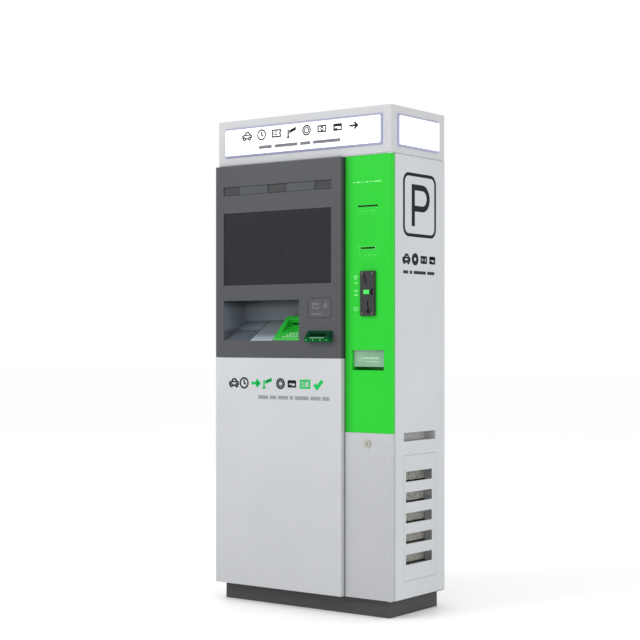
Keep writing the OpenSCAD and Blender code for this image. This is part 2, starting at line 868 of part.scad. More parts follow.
module latch_bar() {
    x0 = latch_bar_x;
    x1 = latch_bar_x + latch_bar_t;
    back = latch_bar_y + latch_bar_w;
    play = latch_pin_r + latch_slot_play;
    lug_y = latch_y + crank_r * cos(latch_turn / 2);
    color("#b3b6ba") difference() {
        union() {
            span([x0, latch_bar_y, latch_pin_heights[0] - latch_lift - 14],
                [x1, back, latch_pin_heights[1] + 15]);
            for (z = latch_pin_heights)
                span([x0, hook_front_y, z - latch_lift - 14], [x1, back, z + 15]);
            span([x0, latch_bar_y, crank_pin_z - 10], [x1, lug_y + 11, crank_pin_z + 10]);
        }
        for (z = latch_pin_heights) {
            span([x0 - 1, hook_front_y - 1, z - play - 0.5], [x1 + 1, latch_pin_y + play, z + play + 0.5]);
            span([x0 - 1, latch_pin_y - play, z - latch_lift - play],
                [x1 + 1, latch_pin_y + play, z + play + 0.5]);
        }
        span([x0 - 1, lug_y - 4.5, crank_pin_z - crank_pin_r - 0.4],
            [x1 + 1, lug_y + 7, crank_pin_z + crank_pin_r + 0.4]);
    }
}

module latch_lever() {
    crank_x0 = latch_bar_x - 6;
    crank_x1 = latch_bar_x - 0.8;
    handle_x0 = post_x1 + 5;
    color("#2f3134") {
        rod_x(latch_y, latch_z, latch_axle_r, crank_x0, handle_x0 + 6);
        rod_x(latch_y, latch_z, latch_axle_r + 3, crank_x0, crank_x1);
        translate([crank_x0, latch_y, latch_z])
            rotate([-latch_turn / 2, 0, 0]) {
                translate([0, 0, -5])
                    cube([crank_x1 - crank_x0, crank_r + 5, 10]);
                translate([0, crank_r, 0])
                    rotate([0, 90, 0])
                        cylinder(r = crank_pin_r, h = latch_bar_x + latch_bar_t + 1.5 - crank_x0);
            }
        rod_x(latch_y, latch_z, latch_axle_r + 3, handle_x0, handle_x0 + 6);
        translate([handle_x0, latch_y, latch_z])
            rotate([handle_angle, 0, 0]) {
                translate([0, 0, -7])
                    cube([6, handle_length, 14]);
                translate([0, handle_length, 0])
                    rotate([0, 90, 0])
                        cylinder(r = 8, h = 26);
            }
    }
}

module door_latch_pins() {
    plate_x = main_x1 - 28;
    arm_back = latch_pin_y + 8;
    color("#9ea1a5")
        for (z = latch_pin_heights) {
            span([plate_x, main_skin_back + stile_size, z - 14], [plate_x + 3, arm_back, z + 14]);
            rod_x(latch_pin_y, z, latch_pin_r, plate_x + 3, latch_bar_x + latch_bar_t + 1.5);
        }
}

// ---- Main door ----

module upper_fascia() {
    z0 = main_split_z + hairline / 2;
    color("#5f6065") difference() {
        union() {
            folded_skin(main_x0, main_front_y, main_w, main_depth, z0, door_z1);
            span([main_x0 + sheet_t, main_skin_back, door_z1 - sheet_t],
                [main_x1 - sheet_t, door_back_y, door_z1]);
            span([main_x0 + sheet_t, main_skin_back, z0],
                [main_x1 - sheet_t, main_skin_back + 16, z0 + sheet_t]);
        }
        front_plate(screen_x, screen_z, [screen_w, screen_h], main_front_y - 1, sheet_t + 2, 1.5);
        front_plate(screen_x, strip_z, [strip_w, strip_h], main_front_y - 1, sheet_t + 2, 1.5);
        span([alcove_x0, main_front_y - 1, alcove_z], [alcove_x1, main_skin_back + 1, alcove_z + alcove_h]);
        front_plate(tap_x, tap_place[1], tap_face + [2, 2] * cover_gap, main_front_y - 1, sheet_t + 2, 2);
        span([card_x - card_bezel[0] / 2 + 5, main_front_y - 1, card_z0 + 4],
            [card_x + card_bezel[0] / 2 - 5, main_skin_back + 1, card_z1 - 4]);
        pivot_hole(-pivot_x, door_z1);
    }
}

module lower_skin() {
    z1 = main_split_z - hairline / 2;
    color("#d4d5d8") difference() {
        union() {
            folded_skin(main_x0, main_front_y, main_w, main_depth, door_z0, z1);
            span([main_x0 + sheet_t, main_skin_back, door_z0],
                [main_x1 - sheet_t, door_back_y, door_z0 + sheet_t]);
            span([main_x0 + sheet_t, main_skin_back, z1 - sheet_t],
                [main_x1 - sheet_t, main_skin_back + 16, z1]);
        }
        pivot_hole(-pivot_x, door_z0);
    }
}

// Square tubes that join the two skins
module main_door_stiles() {
    margin = 18;
    color("#a7aaad")
        for (x = [main_x0 + 6, main_x1 - 28])
            difference() {
                span([x, main_skin_back, door_z0 + margin],
                    [x + stile_size, main_skin_back + stile_size, door_z1 - margin]);
                span([x + 2, main_skin_back + 2, door_z0 + margin - 1],
                    [x + stile_size - 2, main_skin_back + stile_size - 2, door_z1 - margin + 1]);
                span([x - 1, main_skin_back - 1, main_split_z - sheet_t - hairline],
                    [x + stile_size + 1, main_skin_back + 16.5, main_split_z + sheet_t + hairline]);
            }
}

module camera_strip() {
    color("#5a5b60") difference() {
        front_plate(screen_x, strip_z, [strip_w, strip_h] + [2, 2] * strip_lap, main_skin_back, strip_t, 2);
        for (x = [strip_x0 + end_window_w / 2 + 1, strip_x0 + strip_w - end_window_w / 2 - 1])
            front_plate(x, strip_z, [end_window_w, strip_h - 2], main_skin_back - 1, strip_t + 2, 1);
        front_plate(camera_window_x, strip_z, [camera_window_w, strip_h - 2], main_skin_back - 1,
            strip_t + 2, 1);
    }
}

module strip_windows() {
    y = main_skin_back + strip_t - pane_t;
    color("#2a2b2e") {
        for (x = [strip_x0 + end_window_w / 2 + 1, strip_x0 + strip_w - end_window_w / 2 - 1])
            front_plate(x, strip_z, [end_window_w, strip_h - 2], y, pane_t, 1);
        front_plate(camera_window_x, strip_z, [camera_window_w, strip_h - 2], y, pane_t, 1);
    }
}

module camera_module() {
    y0 = main_skin_back + strip_t;
    color("#1c1d1f") {
        span([camera_window_x - 36, y0 + 12, strip_z - 18], [camera_window_x + 36, y0 + 16, strip_z + 18]);
        span([camera_window_x - 36, y0, strip_z - 18], [camera_window_x - 33, y0 + 12, strip_z + 18]);
        span([camera_window_x + 33, y0, strip_z - 18], [camera_window_x + 36, y0 + 12, strip_z + 18]);
        rod_y(camera_window_x, strip_z, 9, y0 + 2, y0 + 12);
        rod_y(camera_window_x, strip_z, 5, y0 + 1, y0 + 2);
    }
}

module touch_glass() {
    color("#38353b")
        front_plate(screen_x, screen_z, [screen_w, screen_h] + [2, 2] * glass_lap, main_skin_back,
            glass_t, 2);
}

module display_panel() {
    y0 = main_skin_back + glass_t;
    w = screen_w + 2 * glass_lap;
    h = screen_h + 2 * glass_lap + 16;
    color("#1f2023") {
        front_plate(screen_x, screen_z, [w, h], y0, display_t - 12, 2);
        front_plate(screen_x, screen_z, [w - 90, h - 90], y0 + display_t - 12, 12, 4);
        // Tabs that reach forward past the glass to the back of the skin
        for (sx = [-1, 1], sz = [-1, 1])
            span([screen_x + sx * w * 0.35 - 15, main_skin_back, screen_z + sz * (h / 2 - 3.5) - 3.5],
                [screen_x + sx * w * 0.35 + 15, y0, screen_z + sz * (h / 2 - 3.5) + 3.5]);
    }
}

// Height of the alcove's floor at depth y
function alcove_floor(y) = alcove_z + (y - alcove_front_y) * alcove_slope;

// Side outline of the alcove's inside, grown downward and backward by the tray thickness when solid
module alcove_outline(grow) {
    back = alcove_back_y + grow * tray_t;
    drop = grow * alcove_floor_drop;
    top = alcove_z + alcove_h + grow * tray_t;
    polygon([
        [alcove_front_y, alcove_z - drop],
        [back, alcove_floor(back) - drop],
        [back, top],
        [alcove_front_y, top]
    ]);
}

// Extrudes a side outline, drawn as depth and height, from x0 to x1
module side_profile(x0, x1) {
    translate([x0, 0, 0])
        rotate([90, 0, 90])
            linear_extrude(x1 - x0)
                children();
}

module alcove_shell() {
    color("#4c5258") difference() {
        side_profile(alcove_x0 - tray_t, alcove_x1 + tray_t)
            alcove_outline(1);
        difference() {
            side_profile(alcove_x0, alcove_x1)
                alcove_outline(0);
            // Rib between the receipt tray and the steel plate
            side_profile(steel_lip_x0 - 4, steel_lip_x0 - 2)
                polygon([
                    [alcove_front_y, alcove_z - 1],
                    [alcove_back_y, alcove_floor(alcove_back_y) - 1],
                    [alcove_back_y, alcove_floor(alcove_back_y) + 3],
                    [alcove_front_y, alcove_z + 3]
                ]);
        }
        // Mouths for the receipt and for banknotes
        span([receipt_x - receipt_slot[0] / 2, receipt_y - receipt_slot[1] / 2, alcove_z],
            [receipt_x + receipt_slot[0] / 2, receipt_y + receipt_slot[1] / 2, alcove_z + 60]);
        span([note_mid - note_slot[0] / 2 - 2, note_cut_y(), note_slot_z - 2],
            [note_mid + note_slot[0] / 2 + 2, alcove_back_y + tray_t + 1, note_slot_z + note_slot[1] + 2]);
    }
}

// Depth at which the note path goes through the alcove's floor
function note_cut_y() = alcove_front_y + (note_slot_z - 6 - alcove_z) / alcove_slope;

module steel_lip() {
    t = 1.5;
    color("#a9b4ba")
        side_profile(steel_lip_x0, steel_lip_x1)
            polygon([
                [alcove_front_y, alcove_z],
                [alcove_back_y, alcove_floor(alcove_back_y)],
                [alcove_back_y, alcove_floor(alcove_back_y) + t],
                [alcove_front_y, alcove_z + t]
            ]);
}

module receipt_printer() {
    x0 = receipt_x - printer_w / 2;
    x1 = receipt_x + printer_w / 2;
    cheek = 2.5;
    color("#2b2d30") {
        difference() {
            span([x0, printer_y0, printer_top_z - printer_h], [x1, printer_y0 + printer_d, printer_top_z]);
            span([receipt_x - receipt_slot[0] / 2 + 2, receipt_y - 2, printer_top_z - printer_h - 1],
                [receipt_x + receipt_slot[0] / 2 - 2, receipt_y + 2, printer_top_z + 1]);
        }
        // Throat from the printer up to the receipt mouth
        difference() {
            span([receipt_x - receipt_slot[0] / 2 + 0.5, receipt_y - receipt_slot[1] / 2 + 0.3,
                printer_top_z],
                [receipt_x + receipt_slot[0] / 2 - 0.5, receipt_y + receipt_slot[1] / 2 - 0.3,
                alcove_floor(receipt_y) + 1]);
            span([receipt_x - receipt_slot[0] / 2 + 2, receipt_y - 2, printer_top_z - 1],
                [receipt_x + receipt_slot[0] / 2 - 2, receipt_y + 2, alcove_floor(receipt_y) + 2]);
        }
        // Cheeks that carry the roll's spindle
        for (x = [x0, x1 - cheek])
            span([x, printer_y0 + 8, roll_z - 12],
                [x + cheek, printer_y0 + printer_d - 8, printer_top_z - printer_h]);
        rod_x(roll_y, roll_z, roll_core_r, x0, x1);
        // Hanger that fastens the printer to the alcove
        span([x0 + 10, printer_y0 + printer_d, printer_top_z - 30],
            [x1 - 10, printer_y0 + printer_d + 3, alcove_floor(printer_y0 + printer_d) - alcove_floor_drop]);
    }
}

module paper_roll() {
    w = printer_w - 20;
    color("#eeeeea") difference() {
        rod_x(roll_y, roll_z, roll_r, receipt_x - w / 2, receipt_x + w / 2);
        rod_x(roll_y, roll_z, roll_core_r + running_gap, receipt_x - w, receipt_x + w);
    }
}

module banknote_acceptor() {
    color("#26282b") difference() {
        union() {
            span([note_mid - acceptor_w / 2, acceptor_y, acceptor_z0],
                [note_mid + acceptor_w / 2, acceptor_y + acceptor_d, acceptor_z0 + acceptor_h]);
            span([note_mid - acceptor_w / 2 + 12, acceptor_y + acceptor_d, acceptor_z0 + 40],
                [note_mid + acceptor_w / 2 - 12, acceptor_y + acceptor_d + 8, acceptor_z0 + 120]);
        }
        span([note_mid - note_slot[0] / 2, acceptor_y - 1, note_slot_z],
            [note_mid + note_slot[0] / 2, acceptor_y + 60, note_slot_z + note_slot[1]]);
    }
}

module banknote_cashbox() {
    color("#3b4046") difference() {
        span([note_mid - acceptor_w / 2 + 3, acceptor_y + 3, acceptor_z0 - cashbox_h],
            [note_mid + acceptor_w / 2 - 3, acceptor_y + acceptor_d - 10, acceptor_z0]);
        span([note_mid - 30, acceptor_y + acceptor_d - 14, acceptor_z0 - 60],
            [note_mid + 30, acceptor_y + acceptor_d - 9, acceptor_z0 - 35]);
    }
}

module banknote_bezel() {
    face_z = alcove_z + 6;
    crest_y = alcove_front_y + note_bezel_rise;
    crest_z = face_z + note_bezel_rise;
    color("#35c648") difference() {
        side_profile(note_x0, note_x1)
            polygon([
                [alcove_front_y, alcove_z],
                [alcove_back_y, alcove_floor(alcove_back_y)],
                [alcove_back_y, crest_z],
                [crest_y, crest_z],
                [alcove_front_y, face_z]
            ]);
        // Funnel that narrows to the note slot
        side_profile(note_mid - note_slot[0] / 2, note_mid + note_slot[0] / 2)
            polygon([
                [alcove_front_y + 26, face_z + 22],
                [note_cut_y() + 1, note_slot_z],
                [note_cut_y() + 1, note_slot_z + note_slot[1]],
                [crest_y - 12, crest_z - 6],
                [crest_y - 16, crest_z + 4],
                [alcove_front_y + 20, face_z + 40]
            ]);
        span([note_mid - note_slot[0] / 2, note_cut_y() - 8, note_slot_z],
            [note_mid + note_slot[0] / 2, alcove_back_y + 1, note_slot_z + note_slot[1]]);
    }
}

module contactless_reader() {
    color("#595b60") {
        front_plate(tap_x, tap_place[1], tap_face, main_front_y, sheet_t + 1, 2);
        front_plate(tap_x, tap_place[1], tap_face + [10, 8], main_skin_back + 1, 20, 3);
        for (sx = [-1, 1])
            front_plate(tap_x + sx * (tap_face[0] / 2 + 3), tap_place[1], [3, 30], main_skin_back, 1, 1);
    }
}

module card_reader_bezel() {
    w = card_bezel[0];
    lip_z = card_z0 + 15;
    color("#163a26") difference() {
        union() {
            side_profile(card_x - w / 2, card_x + w / 2)
                polygon([
                    [main_front_y, card_z0],
                    [main_front_y, card_z1],
                    [main_front_y - 4, card_z1],
                    [main_front_y - card_out, lip_z],
                    [main_front_y - card_out, card_z0 + 4],
                    [main_front_y - card_out + 4, card_z0]
                ]);
            span([card_x - w / 2 + 5.5, main_front_y, card_z0 + 4.5],
                [card_x + w / 2 - 5.5, main_skin_back, card_z1 - 4.5]);
        }
        span([card_x - card_mouth[0] / 2, main_front_y - card_out - 1, card_mouth_z],
            [card_x + card_mouth[0] / 2, main_skin_back - 8, card_mouth_z + card_mouth[1]]);
        span([card_x - 28, main_front_y - card_out, card_mouth_z + 2],
            [card_x + 28, main_skin_back + 1, card_mouth_z + 4.5]);
    }
}

module card_reader_module() {
    color("#1f2123") difference() {
        span([card_x - 47, main_skin_back, card_z0 - 3], [card_x + 47, main_skin_back + 105, card_z1 + 6]);
        span([card_x - 28, main_skin_back - 1, card_mouth_z + 2],
            [card_x + 28, main_skin_back + 88, card_mouth_z + 4.5]);
    }
}

// ---- Column door ----

module column_fascia() {
    z0 = column_split_z + hairline / 2;
    color("#35d93f") difference() {
        union() {
            folded_skin(column_x0, front_y, column_w, door_wrap, z0, door_z1);
            span([column_x0 + sheet_t, column_skin_back, door_z1 - sheet_t],
                [half_w - sheet_t, door_back_y, door_z1]);
            span([column_x0 + sheet_t, column_skin_back, z0],
                [half_w - sheet_t, column_skin_back + 14, z0 + sheet_t]);
        }
        front_plate(coin_x, coin_plate_z, coin_plate_size - [10, 10], front_y - 1, sheet_t + 2, 1);
        front_plate(column_mid, ticket_z, ticket_bezel - [6, 6], front_y - 1, sheet_t + 2, 1);
        front_plate(column_mid, slit_z, slit_size, front_y - 1, sheet_t + 2, 1);
        span([cup_x0, front_y - 1, cup_z], [cup_x1, column_skin_back + 1, cup_z + cup_size[1]]);
        pivot_hole(pivot_x, door_z1);
    }
}

module column_lower_skin() {
    z1 = column_split_z - hairline / 2;
    color("#d0d2d5") difference() {
        union() {
            folded_skin(column_x0, front_y, column_w, door_wrap, door_z0, z1);
            span([column_x0 + sheet_t, column_skin_back, door_z0],
                [half_w - sheet_t, door_back_y, door_z0 + sheet_t]);
            span([column_x0 + sheet_t, column_skin_back, z1 - sheet_t],
                [half_w - sheet_t, column_skin_back + 14, z1]);
            // Stiffening strip that ties the lower skin to the green one
            for (x = [column_x0 + 12, half_w - 37])
                span([x, column_skin_back + 14, z1 - 60], [x + 25, column_skin_back + 17, z1 + 60]);
            for (x = [column_x0 + 12, half_w - 37])
                span([x, column_skin_back, z1 - 60], [x + 25, column_skin_back + 14, z1 - 57]);
        }
        rod_y(lock_x, lock_z, lock_barrel_r(), front_y - 1, column_skin_back + 1);
        pivot_hole(pivot_x, door_z0);
    }
}

// Radius of the lock's fixed barrel
function lock_barrel_r() = lock_plug_d / 2 + 2.5;

module coin_plate() {
    color("#4b4a4d") difference() {
        front_plate(coin_x, coin_plate_z, coin_plate_size, plate_y, coin_plate_out, 2);
        // Upper slot for coins and lower slot, both leaning a little
        translate([column_mid - 6, front_y - coin_plate_out / 2, coin_plate_z + 52])
            rotate([0, -12, 0])
                cube([4.6, coin_plate_out + 2, 33], center = true);
        translate([column_mid + 6, front_y - coin_plate_out / 2, coin_plate_z - 41])
            rotate([0, -6, 0])
                cube([4.6, coin_plate_out + 2, 29], center = true);
        rod_y(column_mid + 9, coin_plate_z - 61, 8, plate_y - 1, plate_y + coin_plate_out - 2);
        // Half-round finger recess beside the button
        intersection() {
            rod_y(column_mid + 27, button_z, 12, plate_y - 1, plate_y + coin_plate_out - 2);
            span([column_mid, plate_y - 2, button_z - 20], [column_mid + 27, front_y, button_z + 20]);
        }
        front_plate(button_x, button_z, button_size + [2, 2] * slide_gap, plate_y - 1, coin_plate_out + 2, 1);
        for (sx = [-1, 1], sz = [-1, 1])
            rod_y(coin_x + sx * plate_screw[0], coin_plate_z + sz * plate_screw[1], 2.1,
                plate_y - 1, front_y + 1);
    }
}

module coin_plate_screws() {
    color("#b9b2ac")
        for (sx = [-1, 1], sz = [-1, 1])
            difference() {
                union() {
                    rod_y(coin_x + sx * plate_screw[0], coin_plate_z + sz * plate_screw[1], 2,
                        plate_y, front_y);
                    rod_y(coin_x + sx * plate_screw[0], coin_plate_z + sz * plate_screw[1], 3.4,
                        plate_y - 1.6, plate_y);
                }
                translate([coin_x + sx * plate_screw[0], plate_y - 1.3,
                    coin_plate_z + sz * plate_screw[1]])
                    cube([4, 1.2, 0.9], center = true);
            }
}

module coin_acceptor() {
    w = coin_plate_size[0];
    h = coin_plate_size[1];
    well = button_travel + 7;
    color("#2b2d30") difference() {
        union() {
            front_plate(coin_x, coin_plate_z, [w - 11, h - 11], front_y, sheet_t, 1);
            front_plate(coin_x, coin_plate_z, [w, h], column_skin_back, unit_d - sheet_t, 3);
        }
        front_plate(button_x, button_z, button_size + [2, 2] * slide_gap, front_y - 1, well + 1, 1);
        // Coin exit at the bottom
        span([column_mid - 20, front_y + 60, coin_plate_z - h / 2 - 1],
            [column_mid + 8, front_y + 90, coin_plate_z - h / 2 + 30]);
    }
}

module return_button() {
    back = front_y + 5;
    color("#4be05a") {
        front_plate(button_x, button_z, button_size, plate_y - button_out, back - plate_y + button_out, 1);
    }
}

module return_cup() {
    depth_y = front_y + cup_d;
    color("#2aa83a") difference() {
        span([cup_x0 - tray_t, column_skin_back, cup_z - tray_t],
            [cup_x1 + tray_t, depth_y, cup_roof_z + tray_t]);
        span([cup_x0, column_skin_back - 1, cup_z], [cup_x1, depth_y - tray_t, cup_roof_z]);
        // Chute mouth in the roof, behind the flap
        span([column_mid - 24, depth_y - 28, cup_roof_z - 1], [column_mid + 24, depth_y - 6, cup_roof_z + 5]);
        rod_x(flap_axis_y, flap_axis_z, flap_axle_r + running_gap, cup_x0 - 5, cup_x1 + 5);
    }
}

module return_flap() {
    side_gap = 1.3;
    color("#9fc7a8") {
        span([cup_x0 + side_gap, flap_axis_y - flap_t / 2, cup_z + flap_gap_z],
            [cup_x1 - side_gap, flap_axis_y + flap_t / 2, flap_axis_z]);
        rod_x(flap_axis_y, flap_axis_z, flap_barrel_r, cup_x0 + side_gap, cup_x1 - side_gap);
        rod_x(flap_axis_y, flap_axis_z, flap_axle_r, cup_x0 - tray_t, cup_x1 + tray_t);
    }
}

module ticket_reader() {
    slot = [ticket_bezel[0] - 16, 5];
    color("#46d554") difference() {
        union() {
            front_plate(column_mid, ticket_z, ticket_bezel, front_y - 1.5, 1.5, 3);
            front_plate(column_mid, ticket_z, ticket_bezel - [7, 7], front_y, sheet_t, 1);
            front_plate(column_mid, ticket_z, [94, 60], column_skin_back, unit_d - sheet_t, 3);
        }
        front_plate(column_mid, ticket_z, slot, front_y - 2, 70, 1);
        front_plate(column_mid, ticket_z, slot + [1, 3.4], front_y - 2, 6, 1);
    }
}

module receipt_slit_printer() {
    color("#2b2d30") difference() {
        front_plate(column_mid, slit_z, [slit_size[0] + 16, 70], column_skin_back, unit_d - sheet_t, 3);
        front_plate(column_mid, slit_z, [slit_size[0] - 2, 3], column_skin_back - 1, 60, 1);
    }
}

module lock_body() {
    color("#b8b6a8") difference() {
        union() {
            rod_y(lock_x, lock_z, lock_collar_d / 2, front_y - 2.5, front_y);
            rod_y(lock_x, lock_z, lock_barrel_r(), front_y, cam_y - 1);
            translate([lock_x, column_skin_back + 5, lock_z])
                rotate([90, 0, 0])
                    cylinder(r = lock_barrel_r() + 4, h = 5, $fn = 6);
        }
        rod_y(lock_x, lock_z, lock_plug_d / 2 + running_gap, front_y - 3, cam_y);
    }
}

module lock_plug() {
    color("#8f8d80") difference() {
        union() {
            rod_y(lock_x, lock_z, lock_plug_d / 2, front_y - 2, cam_y + cam_t);
            span([lock_x - cam_w / 2, cam_y, lock_z - cam_length],
                [lock_x + cam_w / 2, cam_y + cam_t, lock_z]);
            rod_y(lock_x, lock_z, cam_w / 2 + 2, cam_y, cam_y + cam_t + 3);
        }
        span([lock_x - 1, front_y - 3, lock_z - 4.5], [lock_x + 1, front_y + 14, lock_z + 4.5]);
    }
}

plinth();
cabinet_floor();
left_side_panel();
right_side_panel();
rear_panel();
roof_panel();
centre_post();
header_housing();
header_lid();
sign_diffusers();
sign_led_bars();
pivot_pins();
vent_cover();
filter_mat();
vent_ducts();
fan_frame();
fan_rotor();
power_supply();
breaker();
breaker_toggle();
controller();
coin_vault();
coin_chute();
cable_gland();
column_strike();
latch_guides();
latch_bar();
latch_lever();
rear_screws();
upper_fascia();
lower_skin();
main_door_stiles();
camera_strip();
strip_windows();
camera_module();
display_panel();
touch_glass();
alcove_shell();
steel_lip();
receipt_printer();
paper_roll();
banknote_acceptor();
banknote_bezel();
banknote_cashbox();
contactless_reader();
card_reader_bezel();
card_reader_module();
door_latch_pins();
column_fascia();
column_lower_skin();
coin_plate();
coin_acceptor();
coin_plate_screws();
return_button();
return_cup();
return_flap();
ticket_reader();
receipt_slit_printer();
lock_body();
lock_plug();
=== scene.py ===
"""Looks of a parking pay station, built around its fixed CAD frame.

The cabinet, its doors and every working part come from the frame. This script gives each of
them its finish, softens the folded edges, adds the printed pictograms and small lamps, and
sets the floor, the lights and the camera. Sizes are in millimetres unless a name says so.
"""

from __future__ import annotations

import json
import logging
import math
from dataclasses import dataclass, field
from enum import Enum
from typing import Any, ClassVar, Mapping, Sequence

import bmesh
import bpy
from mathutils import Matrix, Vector

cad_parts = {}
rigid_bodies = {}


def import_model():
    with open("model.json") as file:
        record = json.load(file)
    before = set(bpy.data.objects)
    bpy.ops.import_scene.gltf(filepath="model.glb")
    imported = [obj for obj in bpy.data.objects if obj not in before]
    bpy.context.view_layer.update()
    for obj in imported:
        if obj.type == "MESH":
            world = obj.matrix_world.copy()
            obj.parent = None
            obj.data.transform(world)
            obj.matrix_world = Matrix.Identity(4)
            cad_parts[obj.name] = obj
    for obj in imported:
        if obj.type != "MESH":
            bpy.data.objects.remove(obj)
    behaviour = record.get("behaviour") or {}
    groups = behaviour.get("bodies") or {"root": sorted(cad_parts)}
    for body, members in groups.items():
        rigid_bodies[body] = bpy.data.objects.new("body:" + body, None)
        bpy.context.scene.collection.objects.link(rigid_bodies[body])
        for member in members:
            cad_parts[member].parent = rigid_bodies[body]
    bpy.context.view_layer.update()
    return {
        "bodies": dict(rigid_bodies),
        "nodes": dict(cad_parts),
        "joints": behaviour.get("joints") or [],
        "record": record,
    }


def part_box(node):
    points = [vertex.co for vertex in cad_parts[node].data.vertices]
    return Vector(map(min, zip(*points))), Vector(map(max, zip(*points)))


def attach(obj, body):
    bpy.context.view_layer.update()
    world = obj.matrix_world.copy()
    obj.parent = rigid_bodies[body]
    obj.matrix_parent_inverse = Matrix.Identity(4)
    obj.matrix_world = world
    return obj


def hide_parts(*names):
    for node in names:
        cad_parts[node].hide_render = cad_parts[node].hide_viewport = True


LOG = logging.getLogger("pay_station")
MM = 0.001

Point = tuple[float, float]
Colour = tuple[float, float, float]


class Body(Enum):
    """The rigid bodies that pieces ride on."""

    CABINET = "cabinet"
    MAIN_DOOR = "main_door"
    COLUMN_DOOR = "column_door"
    FLAP = "return_flap"


class Axis(Enum):
    """The row frame's axes, as indexes of a vector."""

    X = 0
    Y = 1
    Z = 2


def tint(red: int, green: int, blue: int) -> Colour:
    """Turn a display colour into the linear colour that materials use.

    Args:
        red: Red from 0 to 255.
        green: Green from 0 to 255.
        blue: Blue from 0 to 255.

    Returns:
        The linear colour.
    """

    def linear(value: int) -> float:
        """Undo the display curve for one channel."""
        share = value / 255
        return share / 12.92 if share <= 0.04045 else ((share + 0.055) / 1.055) ** 2.4

    return linear(red), linear(green), linear(blue)


def scaled(colour: Colour, factor: float) -> Colour:
    """Give a lighter or darker shade of a colour.

    Args:
        colour: The linear colour.
        factor: What each channel is multiplied by.

    Returns:
        The shade, with no channel above 1.
    """
    red, green, blue = (min(1.0, channel * factor) for channel in colour)
    return red, green, blue


# ---------------------------------------------------------------- shader graph


class Signal:
    """A value inside a material. Arithmetic on it adds the Math nodes that work it out."""

    def __init__(self, graph: Graph, socket: bpy.types.NodeSocket) -> None:
        """Wrap one output socket.

        Args:
            graph: The graph that the socket belongs to.
            socket: The output socket.
        """
        self.graph = graph
        self.socket = socket

    def _math(self, operation: str, left: Any, right: Any) -> Signal:
        """Add one Math node.

        Args:
            operation: The Math node's operation.
            left: First value or signal.
            right: Second value or signal.

        Returns:
            The node's result.
        """
        return self.graph.node("ShaderNodeMath", {"operation": operation}, {0: left, 1: right})

    def __add__(self, other: Any) -> Signal:
        """Add."""
        return self._math("ADD", self, other)

    def __radd__(self, other: Any) -> Signal:
        """Add, reflected."""
        return self._math("ADD", other, self)

    def __sub__(self, other: Any) -> Signal:
        """Subtract."""
        return self._math("SUBTRACT", self, other)

    def __rsub__(self, other: Any) -> Signal:
        """Subtract, reflected."""
        return self._math("SUBTRACT", other, self)

    def __mul__(self, other: Any) -> Signal:
        """Multiply."""
        return self._math("MULTIPLY", self, other)

    def __rmul__(self, other: Any) -> Signal:
        """Multiply, reflected."""
        return self._math("MULTIPLY", other, self)

    def __truediv__(self, other: Any) -> Signal:
        """Divide."""
        return self._math("DIVIDE", self, other)

    def __rtruediv__(self, other: Any) -> Signal:
        """Divide, reflected."""
        return self._math("DIVIDE", other, self)

    def rise(self, low: float, high: float) -> Signal:
        """Go smoothly from 0 at low to 1 at high.

        Args:
            low: Value where the result is 0.
            high: Value where the result is 1.

        Returns:
            The smooth step.
        """
        return self.graph.node(
            "ShaderNodeMapRange",
            {"interpolation_type": "SMOOTHSTEP"},
            {"Value": self, "From Min": low, "From Max": high, "To Min": 0.0, "To Max": 1.0},
        )


